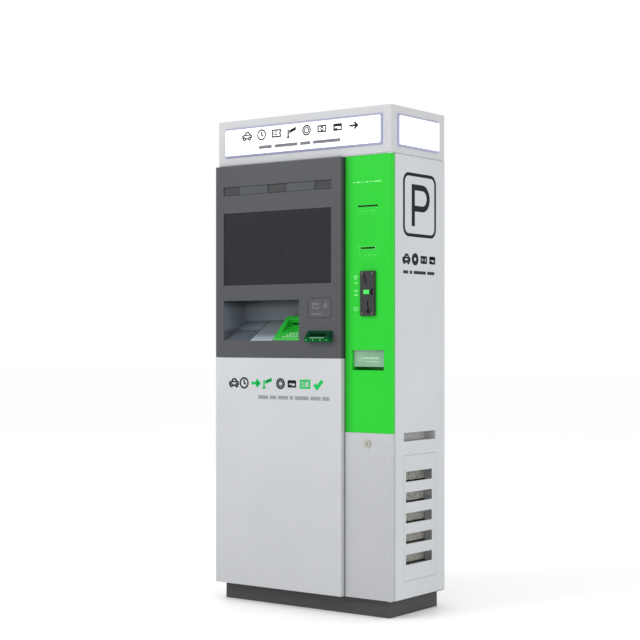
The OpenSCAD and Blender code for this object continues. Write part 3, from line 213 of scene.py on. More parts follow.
class Graph:
    """The node graph of one material."""

    def __init__(self, name: str) -> None:
        """Start an empty material.

        Args:
            name: The material's name.
        """
        self.material = bpy.data.materials.new(name)
        self.material.use_nodes = True
        self.tree = self.material.node_tree
        self.tree.nodes.clear()
        self._place: Signal | None = None
        self._parts: Signal | None = None

    def node(
        self,
        kind: str,
        settings: Mapping[str, Any] | None = None,
        sockets: Mapping[int | str, Any] | None = None,
        output: int | str = 0,
    ) -> Signal:
        """Add one node, set its settings, then its sockets.

        Args:
            kind: The node's type.
            settings: Its settings; "stops" gives a colour ramp's stops.
            sockets: Values or signals for its inputs, by index or name.
            output: The output to give back.

        Returns:
            The chosen output.
        """
        made = self.tree.nodes.new(kind)
        for key, value in (settings or {}).items():
            if key == "stops":
                self._set_stops(made, value)
            else:
                setattr(made, key, value)
        for key, value in (sockets or {}).items():
            if isinstance(value, Signal):
                self.tree.links.new(value.socket, made.inputs[key])
            else:
                made.inputs[key].default_value = value
        return Signal(self, made.outputs[output])

    @staticmethod
    def _set_stops(made: bpy.types.Node, stops: Sequence[tuple[float, Colour]]) -> None:
        """Set a colour ramp's stops.

        Args:
            made: The ramp node.
            stops: Position and colour of each stop, in order.
        """
        elements = made.color_ramp.elements
        while len(elements) < len(stops):
            elements.new(1.0)
        for element, (position, colour) in zip(elements, stops):
            element.position = position
            element.color = (*colour, 1.0)

    @property
    def place(self) -> Signal:
        """The point on the surface, in metres in the row frame at rest."""
        if self._place is None:
            self._place = self.node("ShaderNodeTexCoord", output="Object")
        return self._place

    def along(self, axis: Axis) -> Signal:
        """Give one coordinate of the point on the surface."""
        if self._parts is None:
            self._parts = self.node("ShaderNodeSeparateXYZ", {}, {0: self.place})
        return Signal(self, self._parts.socket.node.outputs[axis.value])

    def stretched(self, scale: tuple[float, float, float]) -> Signal:
        """Scale the place differently along each axis.

        Args:
            scale: Factor along x, y and z.

        Returns:
            The stretched place.
        """
        return self.node("ShaderNodeVectorMath", {"operation": "MULTIPLY"}, {0: self.place, 1: scale})

    def noise(self, scale: float, detail: float = 3.0, place: Signal | None = None) -> Signal:
        """Add fractal noise.

        Args:
            scale: Features per metre.
            detail: Number of finer layers.
            place: Where to read it; the plain place if left out.

        Returns:
            Noise around one half.
        """
        return self.node(
            "ShaderNodeTexNoise",
            {},
            {"Vector": place or self.place, "Scale": scale, "Detail": detail, "Roughness": 0.55},
        )

    def cells(self, scale: float, place: Signal | None = None) -> Signal:
        """Add cell noise: the distance to the nearest cell's middle.

        Args:
            scale: Cells per metre.
            place: Where to read it; the plain place if left out.

        Returns:
            The distance, 0 in each cell's middle.
        """
        return self.node(
            "ShaderNodeTexVoronoi", {}, {"Vector": place or self.place, "Scale": scale}, "Distance"
        )

    def blend(self, share: Signal | float, low: Any, high: Any) -> Signal:
        """Mix two colours.

        Args:
            share: 0 for the low colour, 1 for the high colour.
            low: Colour or signal.
            high: Colour or signal.

        Returns:
            The mixed colour.
        """
        ends = [(*c, 1.0) if isinstance(c, tuple) else c for c in (low, high)]
        return self.node("ShaderNodeMix", {"data_type": "RGBA"}, {0: share, 6: ends[0], 7: ends[1]}, 2)

    def relief(self, height: Signal, depth: float, strength: float = 1.0) -> Signal:
        """Turn a height into a bumped normal.

        Args:
            height: Height from 0 to 1.
            depth: Depth of a full step, in metres.
            strength: Share of the bump that is used.

        Returns:
            The normal.
        """
        return self.node(
            "ShaderNodeBump", {}, {"Height": height, "Distance": depth, "Strength": strength}
        )

    def surface(self, sockets: Mapping[str, Any]) -> bpy.types.Material:
        """Close the material with a Principled surface.

        Args:
            sockets: The surface's inputs, as values or signals.

        Returns:
            The finished material.
        """
        filled = {
            key: (*value, 1.0) if isinstance(value, tuple) and len(value) == 3 else value
            for key, value in sockets.items()
        }
        shader = self.node("ShaderNodeBsdfPrincipled", {}, filled)
        end = self.tree.nodes.new("ShaderNodeOutputMaterial")
        self.tree.links.new(shader.socket, end.inputs[0])
        return self.material


# ---------------------------------------------------------------- finishes


@dataclass(frozen=True)
class Finish:
    """A finish, which makes its material once and hands out the same one after that."""

    name: str
    made: ClassVar[dict[str, bpy.types.Material]] = {}

    def material(self) -> bpy.types.Material:
        """Give this finish's material."""
        if self.name not in Finish.made:
            Finish.made[self.name] = self.build(Graph(self.name))
        return Finish.made[self.name]

    def build(self, graph: Graph) -> bpy.types.Material:
        """Build the material; each finish has its own way.

        Args:
            graph: An empty graph.

        Returns:
            The finished material.
        """
        raise NotImplementedError


@dataclass(frozen=True)
class PowderCoat(Finish):
    """Sprayed and baked paint: fine orange peel, faint drifts of tone, dust near the ground, and optional
    painted shade towards the bottom and along the left edge.
    """

    colour: Colour = (0.6, 0.6, 0.6)
    dust_and_shade_colour: Colour = (0.5, 0.48, 0.45)
    roughness: float = 0.46
    peel: float = 0.00006
    drift: float = 0.03
    dust: float = 0.10
    # Share of painted shade that darkens the paint from the top down.
    film: float = 0.0
    painted_shadow_left: float = 0.0
    painted_shadow_span: tuple[float, float] = (0.0, 1.0)
    specular: float = 0.35

    def build(self, graph: Graph) -> bpy.types.Material:
        """Build the paint.

        Args:
            graph: An empty graph.

        Returns:
            The paint.
        """
        cloud = graph.noise(3.2, 4.0)
        darker = tuple(c * (1 - self.drift) for c in self.colour)
        lighter = tuple(min(1.0, c * (1 + self.drift)) for c in self.colour)
        base = graph.blend(cloud.rise(0.3, 0.7), darker, lighter)
        height = graph.along(Axis.Z)
        low = 1 - height.rise(0.02, 0.30)
        speck = graph.noise(420.0, 5.0).rise(0.42, 0.75)
        base = graph.blend(low * (0.25 + 0.75 * speck) * self.dust, base, self.dust_and_shade_colour)
        # Painted shade: the paint fades to the dust-and-shade grey from the top down, darker towards the
        # bottom, standing for light falling from above.
        if self.film:
            base = graph.blend((1 - height.rise(0.0, 1.3)) * self.film, base, self.dust_and_shade_colour)
        # Painted shadow: darker towards the left edge, standing for the shadow the main door casts there.
        if self.painted_shadow_left:
            across = graph.along(Axis.X).rise(*self.painted_shadow_span)
            shaded = tuple(c * (1 - self.painted_shadow_left) for c in self.colour)
            base = graph.blend((1 - across) * 0.9, base, shaded)
        gloss = self.roughness - 0.03 + 0.06 * graph.noise(22.0, 3.0) + 0.08 * low * speck
        scratch = graph.noise(60.0, 2.0, graph.stretched((1.0, 1.0, 0.05))).rise(0.66, 0.72)
        gloss = gloss + 0.04 * scratch
        skin = graph.relief(graph.noise(850.0, 2.0), self.peel, 0.6)
        return graph.surface(
            {
                "Base Color": base,
                "Roughness": gloss,
                "Normal": skin,
                "Specular IOR Level": self.specular,
            }
        )


@dataclass(frozen=True)
class Moulding(Finish):
    """Moulded plastic with a spark-eroded grain and faint flow marks, and optional painted light: colour
    bands low down and high up that stand for light and shade.
    """

    colour: Colour = (0.1, 0.1, 0.1)
    roughness: float = 0.5
    grain: float = 1400.0
    depth: float = 0.00004
    coat: float = 0.0
    glow: float = 0.0
    specular: float = 0.4
    painted_light_low: Colour | None = None
    painted_light_low_span: tuple[float, float] = (0.0, 1.0)
    painted_light_top: Colour | None = None
    painted_light_top_span: tuple[float, float] = (0.0, 1.0)

    def build(self, graph: Graph) -> bpy.types.Material:
        """Build the plastic.

        Args:
            graph: An empty graph.

        Returns:
            The plastic.
        """
        flow = graph.noise(14.0, 3.0, graph.stretched((1.0, 1.0, 2.5)))
        base = graph.blend(
            flow.rise(0.3, 0.7),
            scaled(self.colour, 0.93),
            scaled(self.colour, 1.07),
        )
        # Painted light: a colour band low down and another high up stand for the light and shade that fall on
        # the part.
        if self.painted_light_low:
            base = graph.blend(1 - graph.along(Axis.Z).rise(*self.painted_light_low_span), base, self.painted_light_low)
        if self.painted_light_top:
            base = graph.blend(graph.along(Axis.Z).rise(*self.painted_light_top_span), base, self.painted_light_top)
        wear = graph.noise(90.0, 5.0).rise(0.55, 0.8)
        worn = tuple(min(1.0, c * 1.3 + 0.02) for c in self.colour)
        sockets: dict[str, Any] = {
            "Base Color": graph.blend(wear * 0.12, base, worn),
            "Roughness": self.roughness - 0.04 + 0.08 * flow + 0.06 * wear,
            "Normal": graph.relief(graph.cells(self.grain), self.depth, 0.5),
            "Specular IOR Level": self.specular,
            "Coat Weight": self.coat,
            "Coat Roughness": 0.08,
        }
        if self.glow:
            sockets["Emission Color"] = base
            sockets["Emission Strength"] = self.glow
        return graph.surface(sockets)


@dataclass(frozen=True)
class BrushedSteel(Finish):
    """Sheet steel with fine parallel scratches and an optional band of painted shade higher up."""

    colour: Colour = (0.55, 0.58, 0.6)
    roughness: float = 0.3
    run: tuple[float, float, float] = (1.0, 1.0, 0.02)
    metallic: float = 1.0
    painted_shade_upper: Colour | None = None
    painted_shade_upper_span: tuple[float, float] = (0.0, 1.0)

    def build(self, graph: Graph) -> bpy.types.Material:
        """Build the steel.

        Args:
            graph: An empty graph.

        Returns:
            The steel.
        """
        lines = graph.noise(1500.0, 2.0, graph.stretched(self.run))
        haze = graph.noise(18.0, 4.0)
        darker = scaled(self.colour, 0.88)
        base = graph.blend(lines.rise(0.3, 0.7), darker, scaled(self.colour, 1.08))
        # Painted shade: the steel darkens above a given height.
        if self.painted_shade_upper:
            base = graph.blend(graph.along(Axis.Z).rise(*self.painted_shade_upper_span), base, self.painted_shade_upper)
        return graph.surface(
            {
                "Base Color": base,
                "Metallic": self.metallic,
                "Roughness": self.roughness - 0.06 + 0.08 * lines + 0.1 * haze,
                "Normal": graph.relief(lines, 0.00003, 0.5),
            }
        )


@dataclass(frozen=True)
class ZincSheet(Finish):
    """Zinc-plated sheet with its cloudy crystal pattern."""

    colour: Colour = (0.52, 0.54, 0.56)

    def build(self, graph: Graph) -> bpy.types.Material:
        """Build the plating.

        Args:
            graph: An empty graph.

        Returns:
            The plating.
        """
        crystals = graph.cells(70.0, graph.stretched((1.0, 1.0, 0.6)))
        cloud = graph.noise(9.0, 4.0)
        base = graph.blend(
            crystals.rise(0.1, 0.8), scaled(self.colour, 0.85), scaled(self.colour, 1.1)
        )
        return graph.surface(
            {
                "Base Color": base,
                "Metallic": 0.85,
                "Roughness": 0.34 + 0.12 * cloud + 0.05 * crystals,
                "Normal": graph.relief(crystals, 0.00002, 0.4),
            }
        )


@dataclass(frozen=True)
class OpalLens(Finish):
    """Opal acrylic lit from inside: bright over its flat face, with painted shade in a cooler, darker colour
    down its sloping rim.
    """

    face: Colour = (1.0, 1.0, 1.0)
    painted_rim_shade: Colour = (0.27, 0.28, 0.40)

    def build(self, graph: Graph) -> bpy.types.Material:
        """Build the acrylic.

        Args:
            graph: An empty graph.

        Returns:
            The acrylic.
        """
        # Painted shade: facets that slope away from the main faces take the darker rim colour and glow less.
        normal = graph.node("ShaderNodeNewGeometry", output="True Normal")
        parts = graph.node("ShaderNodeSeparateXYZ", {}, {0: normal})
        outputs = parts.socket.node.outputs
        ahead = Signal(graph, outputs[0])
        side = Signal(graph, outputs[1])
        squared = ahead * ahead
        flat = (squared * squared + side * side * side * side).rise(0.55, 0.9)
        ripple = graph.noise(35.0, 3.0)
        base = graph.blend(flat, self.painted_rim_shade, self.face)
        return graph.surface(
            {
                "Base Color": base,
                "Roughness": 0.28 + 0.06 * ripple,
                "Normal": graph.relief(ripple, 0.00003, 0.4),
                "Emission Color": graph.blend(flat, scaled(self.painted_rim_shade, 0.35), self.face),
                "Emission Strength": 0.55,
                "Specular IOR Level": 0.3,
            }
        )


@dataclass(frozen=True)
class DarkGlass(Finish):
    """Smoked or switched-off glass with faint wipe marks."""

    colour: Colour = (0.03, 0.03, 0.04)
    roughness: float = 0.12
    specular: float = 0.2

    def build(self, graph: Graph) -> bpy.types.Material:
        """Build the glass.

        Args:
            graph: An empty graph.

        Returns:
            The glass.
        """
        wipe = graph.noise(7.0, 5.0, graph.stretched((1.0, 1.0, 2.2)))
        prints = graph.noise(60.0, 4.0).rise(0.58, 0.72)
        base = graph.blend(
            wipe.rise(0.3, 0.7), scaled(self.colour, 0.94), scaled(self.colour, 1.06)
        )
        return graph.surface(
            {
                "Base Color": graph.blend(prints * 0.02, base, (0.2, 0.2, 0.2)),
                "Roughness": self.roughness + 0.05 * wipe + 0.08 * prints,
                "Normal": graph.relief(wipe, 0.00002, 0.2),
                "Specular IOR Level": self.specular,
            }
        )


@dataclass(frozen=True)
class OpenFoam(Finish):
    """Coarse filter mat: a tangle of fibres with dark holes and caught dust."""

    colour: Colour = (0.3, 0.29, 0.26)
    hole: Colour = (0.06, 0.06, 0.055)

    def build(self, graph: Graph) -> bpy.types.Material:
        """Build the mat.

        Args:
            graph: An empty graph.

        Returns:
            The mat.
        """
        pores = graph.cells(150.0)
        fuzz = graph.noise(420.0, 4.0)
        tangle = (pores * 1.3 + fuzz * 0.7).rise(0.35, 1.0)
        dust = graph.noise(30.0, 4.0).rise(0.45, 0.75)
        base = graph.blend(tangle, self.hole, self.colour)
        return graph.surface(
            {
                "Base Color": graph.blend(dust * 0.3, base, (0.42, 0.40, 0.36)),
                "Roughness": 0.86 + 0.1 * fuzz,
                "Normal": graph.relief(tangle, 0.0012, 0.9),
                "Specular IOR Level": 0.15,
            }
        )


@dataclass(frozen=True)
class Ink(Finish):
    """Screen-printed or cut-film marking with a slightly uneven film; also drawn as marks of painted shadow
    and highlight.
    """

    colour: Colour = (0.02, 0.02, 0.02)
    glow: float = 0.0

    def build(self, graph: Graph) -> bpy.types.Material:
        """Build the ink.

        Args:
            graph: An empty graph.

        Returns:
            The ink.
        """
        film = graph.noise(120.0, 4.0)
        base = graph.blend(
            film.rise(0.3, 0.7), scaled(self.colour, 0.92), scaled(self.colour, 1.08)
        )
        sockets: dict[str, Any] = {
            "Base Color": base,
            "Roughness": 0.42 + 0.12 * film,
            "Normal": graph.relief(film, 0.00002, 0.4),
            "Specular IOR Level": 0.12,
        }
        if self.glow:
            sockets["Emission Color"] = base
            sockets["Emission Strength"] = self.glow
        return graph.surface(sockets)


@dataclass(frozen=True)
class StudioFloor(Finish):
    """Pale matt studio floor."""

    def build(self, graph: Graph) -> bpy.types.Material:
        """Build the floor's surface.

        Args:
            graph: An empty graph.

        Returns:
            The floor's surface.
        """
        cloud = graph.noise(1.5, 3.0)
        return graph.surface(
            {
                "Base Color": graph.blend(cloud, (0.98, 0.98, 0.98), (1.0, 1.0, 1.0)),
                "Roughness": 0.5 + 0.1 * cloud,
                "Specular IOR Level": 0.2,
            }
        )


HEADER_WHITE = PowderCoat("header_white", colour=tint(183, 184, 186), dust=0.0, roughness=0.5)
SIDE_WHITE = PowderCoat("panel_white", colour=tint(184, 187, 190))
# Grey that the white door paints fade to: dust near the ground, and painted shade from the top down.
SHADE_AND_DUST_GREY = tint(150, 151, 153)
DOOR_WHITE = PowderCoat("door_white", colour=tint(187, 189, 192), dust_and_shade_colour=SHADE_AND_DUST_GREY, film=0.3)
COLUMN_WHITE = PowderCoat("column_white", colour=tint(184, 186, 189), dust_and_shade_colour=SHADE_AND_DUST_GREY, film=0.55)
TRAY_WHITE = PowderCoat("tray_white", colour=tint(184, 185, 186))
FASCIA_GREY = PowderCoat("fascia_grey", colour=tint(66, 68, 71), dust_and_shade_colour=(0.2, 0.2, 0.2), drift=0.04)
# Painted shadow: the green darkens along its left edge, next to the main door.
COLUMN_GREEN = PowderCoat(
    "column_green", colour=tint(26, 188, 38), roughness=0.4, drift=0.02, dust=0.0,
    specular=0.25, painted_shadow_left=0.38, painted_shadow_span=(0.188, 0.235),
)
PLINTH_GREY = PowderCoat("plinth_grey", colour=tint(50, 50, 53), roughness=0.6, dust=0.08)
VAULT_GREY = PowderCoat("vault_grey", colour=tint(112, 118, 124), peel=0.0003, drift=0.08, dust=0.2)
ZINC = ZincSheet("zinc_sheet")
STEEL = BrushedSteel("bright_steel")
# Painted light: the steel lip is pale low down and darkens towards its upper end.
LIP_STEEL = BrushedSteel(
    "lip_steel", colour=tint(172, 186, 194), roughness=0.42, run=(1.0, 0.02, 0.02), metallic=0.2,
    painted_shade_upper=tint(116, 128, 132), painted_shade_upper_span=(0.954, 0.98),
)
SCREW_STEEL = BrushedSteel("screw_steel", colour=tint(112, 110, 108), roughness=0.45)
LOCK_NICKEL = BrushedSteel("lock_nickel", colour=tint(176, 176, 163), roughness=0.28, run=(1.0, 1.0, 1.0))
OPAL = OpalLens("opal_sign")
SCREEN = DarkGlass("screen_glass", colour=tint(30, 29, 38), roughness=0.25)
WINDOW = DarkGlass("smoked_window", colour=tint(60, 62, 64), roughness=0.3)
BLACK_PLASTIC = Moulding("black_plastic", colour=tint(44, 46, 50))
STRIP_PLASTIC = Moulding("strip_plastic", colour=tint(62, 65, 70), roughness=0.45)
# Painted shade: the alcove darkens low down and much more towards its top, under the front lip.
ALCOVE_PLASTIC = Moulding(
    "alcove_plastic", colour=tint(104, 113, 120), roughness=0.42, painted_light_low=tint(80, 87, 94),
    painted_light_low_span=(0.985, 1.0), painted_light_top=tint(58, 62, 66), painted_light_top_span=(1.062, 1.1),
)
GREEN_PLASTIC = Moulding("green_plastic", colour=tint(32, 158, 46), roughness=0.25, coat=0.4, glow=0.18)
SLOT_GREEN = Moulding("slot_green", colour=tint(70, 196, 78), roughness=0.35, specular=0.25)
CUP_GREEN = Moulding("cup_green", colour=tint(34, 200, 46), roughness=0.35)
# Painted light: the card mouth turns a lighter green towards its bottom.
DARK_GREEN = Moulding(
    "card_mouth_green", colour=tint(4, 54, 32), roughness=0.4, specular=0.04,
    painted_light_low=tint(10, 84, 38), painted_light_low_span=(0.95, 0.972),
)
BUTTON_GREEN = Moulding("button_green", colour=tint(70, 205, 84), roughness=0.3, glow=0.12)
FLAP_TINT = Moulding("flap_tint", colour=tint(118, 160, 130), roughness=0.3, coat=0.3)
READER_GREY = Moulding("reader_grey", colour=tint(68, 69, 74), roughness=0.45)
COIN_PLATE_GREY = Moulding(
    "coin_plate_grey", colour=tint(46, 45, 48), roughness=0.55, depth=0.0001, specular=0.25
)
FILTER = OpenFoam("filter_mat", colour=tint(172, 171, 165), hole=tint(32, 32, 30))
BOARD_WHITE = Moulding("board_white", colour=tint(232, 232, 222))
BREAKER_WHITE = Moulding("breaker_white", colour=tint(222, 224, 222))
PAPER = Moulding("paper_white", colour=tint(240, 240, 234), roughness=0.8)
INK_DARK = Ink("dark_ink", colour=tint(38, 40, 46))
INK_BLACK = Ink("black_ink", colour=tint(12, 14, 20))
INK_GREEN = Ink("green_ink", colour=tint(24, 172, 84))
INK_GREY = Ink("grey_ink", colour=tint(136, 138, 144))
INK_SIGN = Ink("sign_grey_ink", colour=tint(112, 114, 122))
INK_SEAM = Ink("seam_ink", colour=tint(36, 37, 40))
# Painted shadow: the dark bars on the filter mat below each vent window.
INK_WINDOW_SHADOW = Ink("window_shadow_paint", colour=tint(46, 46, 44))
INK_LABEL = Ink("label_green_ink", colour=tint(70, 204, 80))
INK_PALE_GREEN = Ink("pale_green_ink", colour=tint(132, 226, 138))
INK_FAINT = Ink("faint_grey_ink", colour=tint(60, 61, 66))
INK_READER = Ink("reader_pale_ink", colour=tint(112, 114, 118))
INK_FLAP = Ink("flap_ink", colour=tint(160, 196, 166))
LAMP_GREEN = Ink("green_lamp", colour=tint(70, 214, 104), glow=0.3)


# ---------------------------------------------------------------- drawing marks


@dataclass
class Sketch:
    """Marks drawn flat in millimetres, across and up, which a Face later raises."""

    fills: list[list[Point]] = field(default_factory=list)
    ribbons: list[tuple[list[Point], list[Point], bool]] = field(default_factory=list)

    def fill(self, points: Sequence[Point]) -> Sketch:
        """Add a filled outline."""
        self.fills.append(list(points))
        return self

    def bar(self, across: float, up: float, width: float, height: float) -> Sketch:
        """Add a filled rectangle.

        Args:
            across: Middle of the bar.
            up: Middle of the bar.
            width: Its width.
            height: Its height.

        Returns:
            The same sketch.
        """
        w, h = width / 2, height / 2
        left, right, bottom, top = across - w, across + w, up - h, up + h
        return self.fill([(left, bottom), (right, bottom), (right, top), (left, top)])

    def disc(self, across: float, up: float, radius: float, steps: int = 24) -> Sketch:
        """Add a filled disc."""
        return self.fill(arc((across, up), radius, 0, 360 - 360 / steps, steps - 1))

    def line(self, points: Sequence[Point], width: float, closed: bool = False) -> Sketch:
        """Add a line of even width with mitred corners.

        Args:
            points: The line's middle.
            width: Its width.
            closed: Whether it joins its own start.

        Returns:
            The same sketch.
        """
        left: list[Point] = []
        right: list[Point] = []
        count = len(points)
        for i, (x, y) in enumerate(points):
            before = points[i - 1] if i or closed else None
            after = points[(i + 1) % count] if i < count - 1 or closed else None
            ways = []
            if before:
                ways.append(Vector((x - before[0], y - before[1])).normalized())
            if after:
                ways.append(Vector((after[0] - x, after[1] - y)).normalized())
            way = sum(ways, Vector((0.0, 0.0))).normalized()
            square = Vector((-way.y, way.x))
            reach = width / 2 / max(0.35, abs(way.dot(ways[0])))
            left.append((x + square.x * reach, y + square.y * reach))
            right.append((x - square.x * reach, y - square.y * reach))
        self.ribbons.append((left, right, closed))
        return self

    def ring(self, across: float, up: float, radius: float, width: float) -> Sketch:
        """Add a ring whose middle line has the radius given."""
        return self.line(arc((across, up), radius, 0, 345, 23), width, closed=True)

    def frame(self, box: tuple[float, float, float, float], radius: float, width: float) -> Sketch:
        """Add a rounded outline.

        Args:
            box: Left, bottom, right and top of the outline's outer edge.
            radius: Outer corner radius.
            width: Line width.

        Returns:
            The same sketch.
        """
        half = width / 2
        left, bottom, right, top = box[0] + half, box[1] + half, box[2] - half, box[3] - half
        r = max(0.01, radius - half)
        path = (
            arc((right - r, top - r), r, 0, 90, 7)
            + arc((left + r, top - r), r, 90, 180, 7)
            + arc((left + r, bottom + r), r, 180, 270, 7)
            + arc((right - r, bottom + r), r, 270, 360, 7)
        )
        return self.line(path, width, closed=True)

    def moved(self, across: float, up: float, scale: float = 1.0) -> Sketch:
        """Copy the sketch to another place.

        Args:
            across: Shift to the right.
            up: Shift upward.
            scale: Size of the copy.

        Returns:
            The copy.
        """

        def shift(points: Sequence[Point]) -> list[Point]:
            """Scale and shift a run of points."""
            return [(x * scale + across, y * scale + up) for x, y in points]

        return Sketch([shift(f) for f in self.fills], [(shift(a), shift(b), c) for a, b, c in self.ribbons])

    def add(self, other: Sketch) -> Sketch:
        """Take in another sketch's marks."""
        self.fills += other.fills
        self.ribbons += other.ribbons
        return self


def arc(centre: Point, radius: float, start: float, end: float, steps: int) -> list[Point]:
    """Give points along an arc.

    Args:
        centre: Its centre.
        radius: Its radius.
        start: First angle, in degrees.
        end: Last angle, in degrees.
        steps: Number of steps between them.

    Returns:
        The points, both ends included.
    """
    angles = [math.radians(start + (end - start) * i / steps) for i in range(steps + 1)]
    return [(centre[0] + radius * math.cos(a), centre[1] + radius * math.sin(a)) for a in angles]


class Icon(Enum):
    """The plain pictograms printed on the station."""

    CAR = "car"
    CLOCK = "clock"
    TICKET = "ticket"
    BARRIER = "barrier"
    COIN = "coin"
    NOTE = "note"
    CARD = "card"
    ARROW = "arrow"
    WAVES = "waves"
    TICK = "tick"


def icon(kind: Icon, weight: float = 3.0) -> Sketch:
    """Draw a pictogram in a square 40 mm wide around its middle.

    Args:
        kind: Which pictogram.
        weight: Line width.

    Returns:
        The drawing.
    """
    s = Sketch()
    if kind is Icon.CAR:
        s.line([(-17, -7), (-17, 1), (-9, 3), (-4, 11), (7, 11), (12, 3), (17, 1), (17, -7)], weight)
        s.line([(-4, -8), (4, -8)], weight)
        s.line([(-9, 3), (12, 3)], weight * 0.8)
        s.ring(-10.5, -8, 4.2, weight).ring(10.5, -8, 4.2, weight)
    elif kind is Icon.CLOCK:
        s.ring(0, 0, 15, weight)
        s.line([(0, 10), (0, 0), (7, -4)], weight)
    elif kind is Icon.TICKET:
        notched = [(-16, 10), (16, 10), (16, 4), (12, 0), (16, -4)]
        s.line([*notched, *((-x, -y) for x, y in notched)], weight, True)
        s.bar(-2, 4, 12, weight * 0.8).bar(-2, -3, 12, weight * 0.8)
    elif kind is Icon.BARRIER:
        s.bar(-12, -4, 6, 22).bar(-12, -16, 12, weight)
        s.line([(-8, 3), (18, 12)], weight)
        s.line([(-8, -2), (18, 7)], weight)
        s.line([(0, 1), (2, 6.5)], weight * 0.8).line([(9, 4.2), (11, 9.6)], weight * 0.8)
    elif kind is Icon.COIN:
        s.ring(0, 0, 14, weight).ring(0, 0, 8, weight * 0.8)
    elif kind is Icon.NOTE:
        s.frame((-17, -11, 17, 11), 2, weight)
        s.ring(0, 0, 4.5, weight * 0.8)
        s.disc(-11, 0, 1.5, 12).disc(11, 0, 1.5, 12)
    elif kind is Icon.CARD:
        s.frame((-16, -11, 16, 11), 3, weight)
        s.bar(0, 4.5, 30, weight * 1.2).bar(-6, -4.5, 12, weight * 0.8)
    elif kind is Icon.ARROW:
        s.line([(-15, 0), (10, 0)], weight * 1.3)
        s.line([(3, 10), (14, 0), (3, -10)], weight * 1.3)
    elif kind is Icon.WAVES:
        for radius in (6, 11, 16):
            s.line(arc((-8, 0), radius, -45, 45, 8), weight)
        s.disc(-8, 0, 1.8, 12)
    elif kind is Icon.TICK:
        s.line([(-13, 0), (-4, -9), (13, 10)], weight * 1.5)
    return s


def dashes(
    start: float, end: float, up: float, height: float, words: Sequence[float], space: float = 0.3
) -> Sketch:
    """Draw a row of short bars that stands for a line of small print.

    Args:
        start: Left end of the row.
        end: Right end of the row.
        up: Middle height of the row.
        height: Height of the bars.
        words: Relative length of each bar.
        space: Relative length of the gaps between them.

    Returns:
        The row.
    """
    gap = (end - start) / (sum(words) + space * (len(words) - 1)) * space
    unit = (end - start - gap * (len(words) - 1)) / sum(words)
    s = Sketch()
    left = start
    for word in words:
        s.bar(left + word * unit / 2, up, word * unit, height)
        left += word * unit + gap
    return s


@dataclass(frozen=True)
class Face:
    """A flat face of the station that carries marks, with its own across, up and outward ways."""

    origin: Vector
    across: Vector
    out: Vector

    def at(self, point: Point, rise: float) -> Vector:
        """Give the place of a drawn point, in metres."""
        return self.origin + (self.across * point[0] + Vector((0, 0, 1)) * point[1] + self.out * rise) * MM

    def raised(self, name: str, sketch: Sketch, film: float = 0.15, foot: float = 0.0) -> bpy.types.Object:
        """Raise a sketch into closed thin solids on this face.

        Args:
            name: Name of the new piece.
            sketch: The marks.
            film: Height of the marks.
            foot: How far their underside stands off the face.

        Returns:
            The piece.
        """
        work = bmesh.new()
        turn = self.across.cross(Vector((0, 0, 1))).dot(self.out) > 0

        def face(corners: list[bmesh.types.BMVert]) -> None:
            """Add one face, turned to look outward."""
            work.faces.new(corners if turn else corners[::-1])

        def prism(points: Sequence[Point]) -> None:
            """Add one closed prism on an outline that runs the positive way round."""
            low = [work.verts.new(self.at(p, foot)) for p in points]
            high = [work.verts.new(self.at(p, film)) for p in points]
            face(high)
            face(low[::-1])
            for i in range(len(points)):
                j = (i + 1) % len(points)
                face([low[i], low[j], high[j], high[i]])

        for points in sketch.fills:
            area = sum(a[0] * b[1] - b[0] * a[1] for a, b in zip(points, points[1:] + points[:1]))
            prism(points if area > 0 else points[::-1])
        for left, right, closed in sketch.ribbons:
            rows = [
                [work.verts.new(self.at(p, h)) for p in side for h in (foot, film)]
                for side in zip(right, left)
            ]
            spans = len(rows) if closed else len(rows) - 1
            for i in range(spans):
                a, b = rows[i], rows[(i + 1) % len(rows)]
                face([a[1], b[1], b[3], a[3]])
                face([a[0], a[2], b[2], b[0]])
                face([a[0], b[0], b[1], a[1]])
                face([a[3], b[3], b[2], a[2]])
            if not closed:
                first, last = rows[0], rows[-1]
                face([first[0], first[1], first[3], first[2]])
                face([last[0], last[2], last[3], last[1]])
        mesh = bpy.data.meshes.new(name)
        work.to_mesh(mesh)
        work.free()
        made = bpy.data.objects.new(name, mesh)
        bpy.context.scene.collection.objects.link(made)
        return made


# ---------------------------------------------------------------- pieces


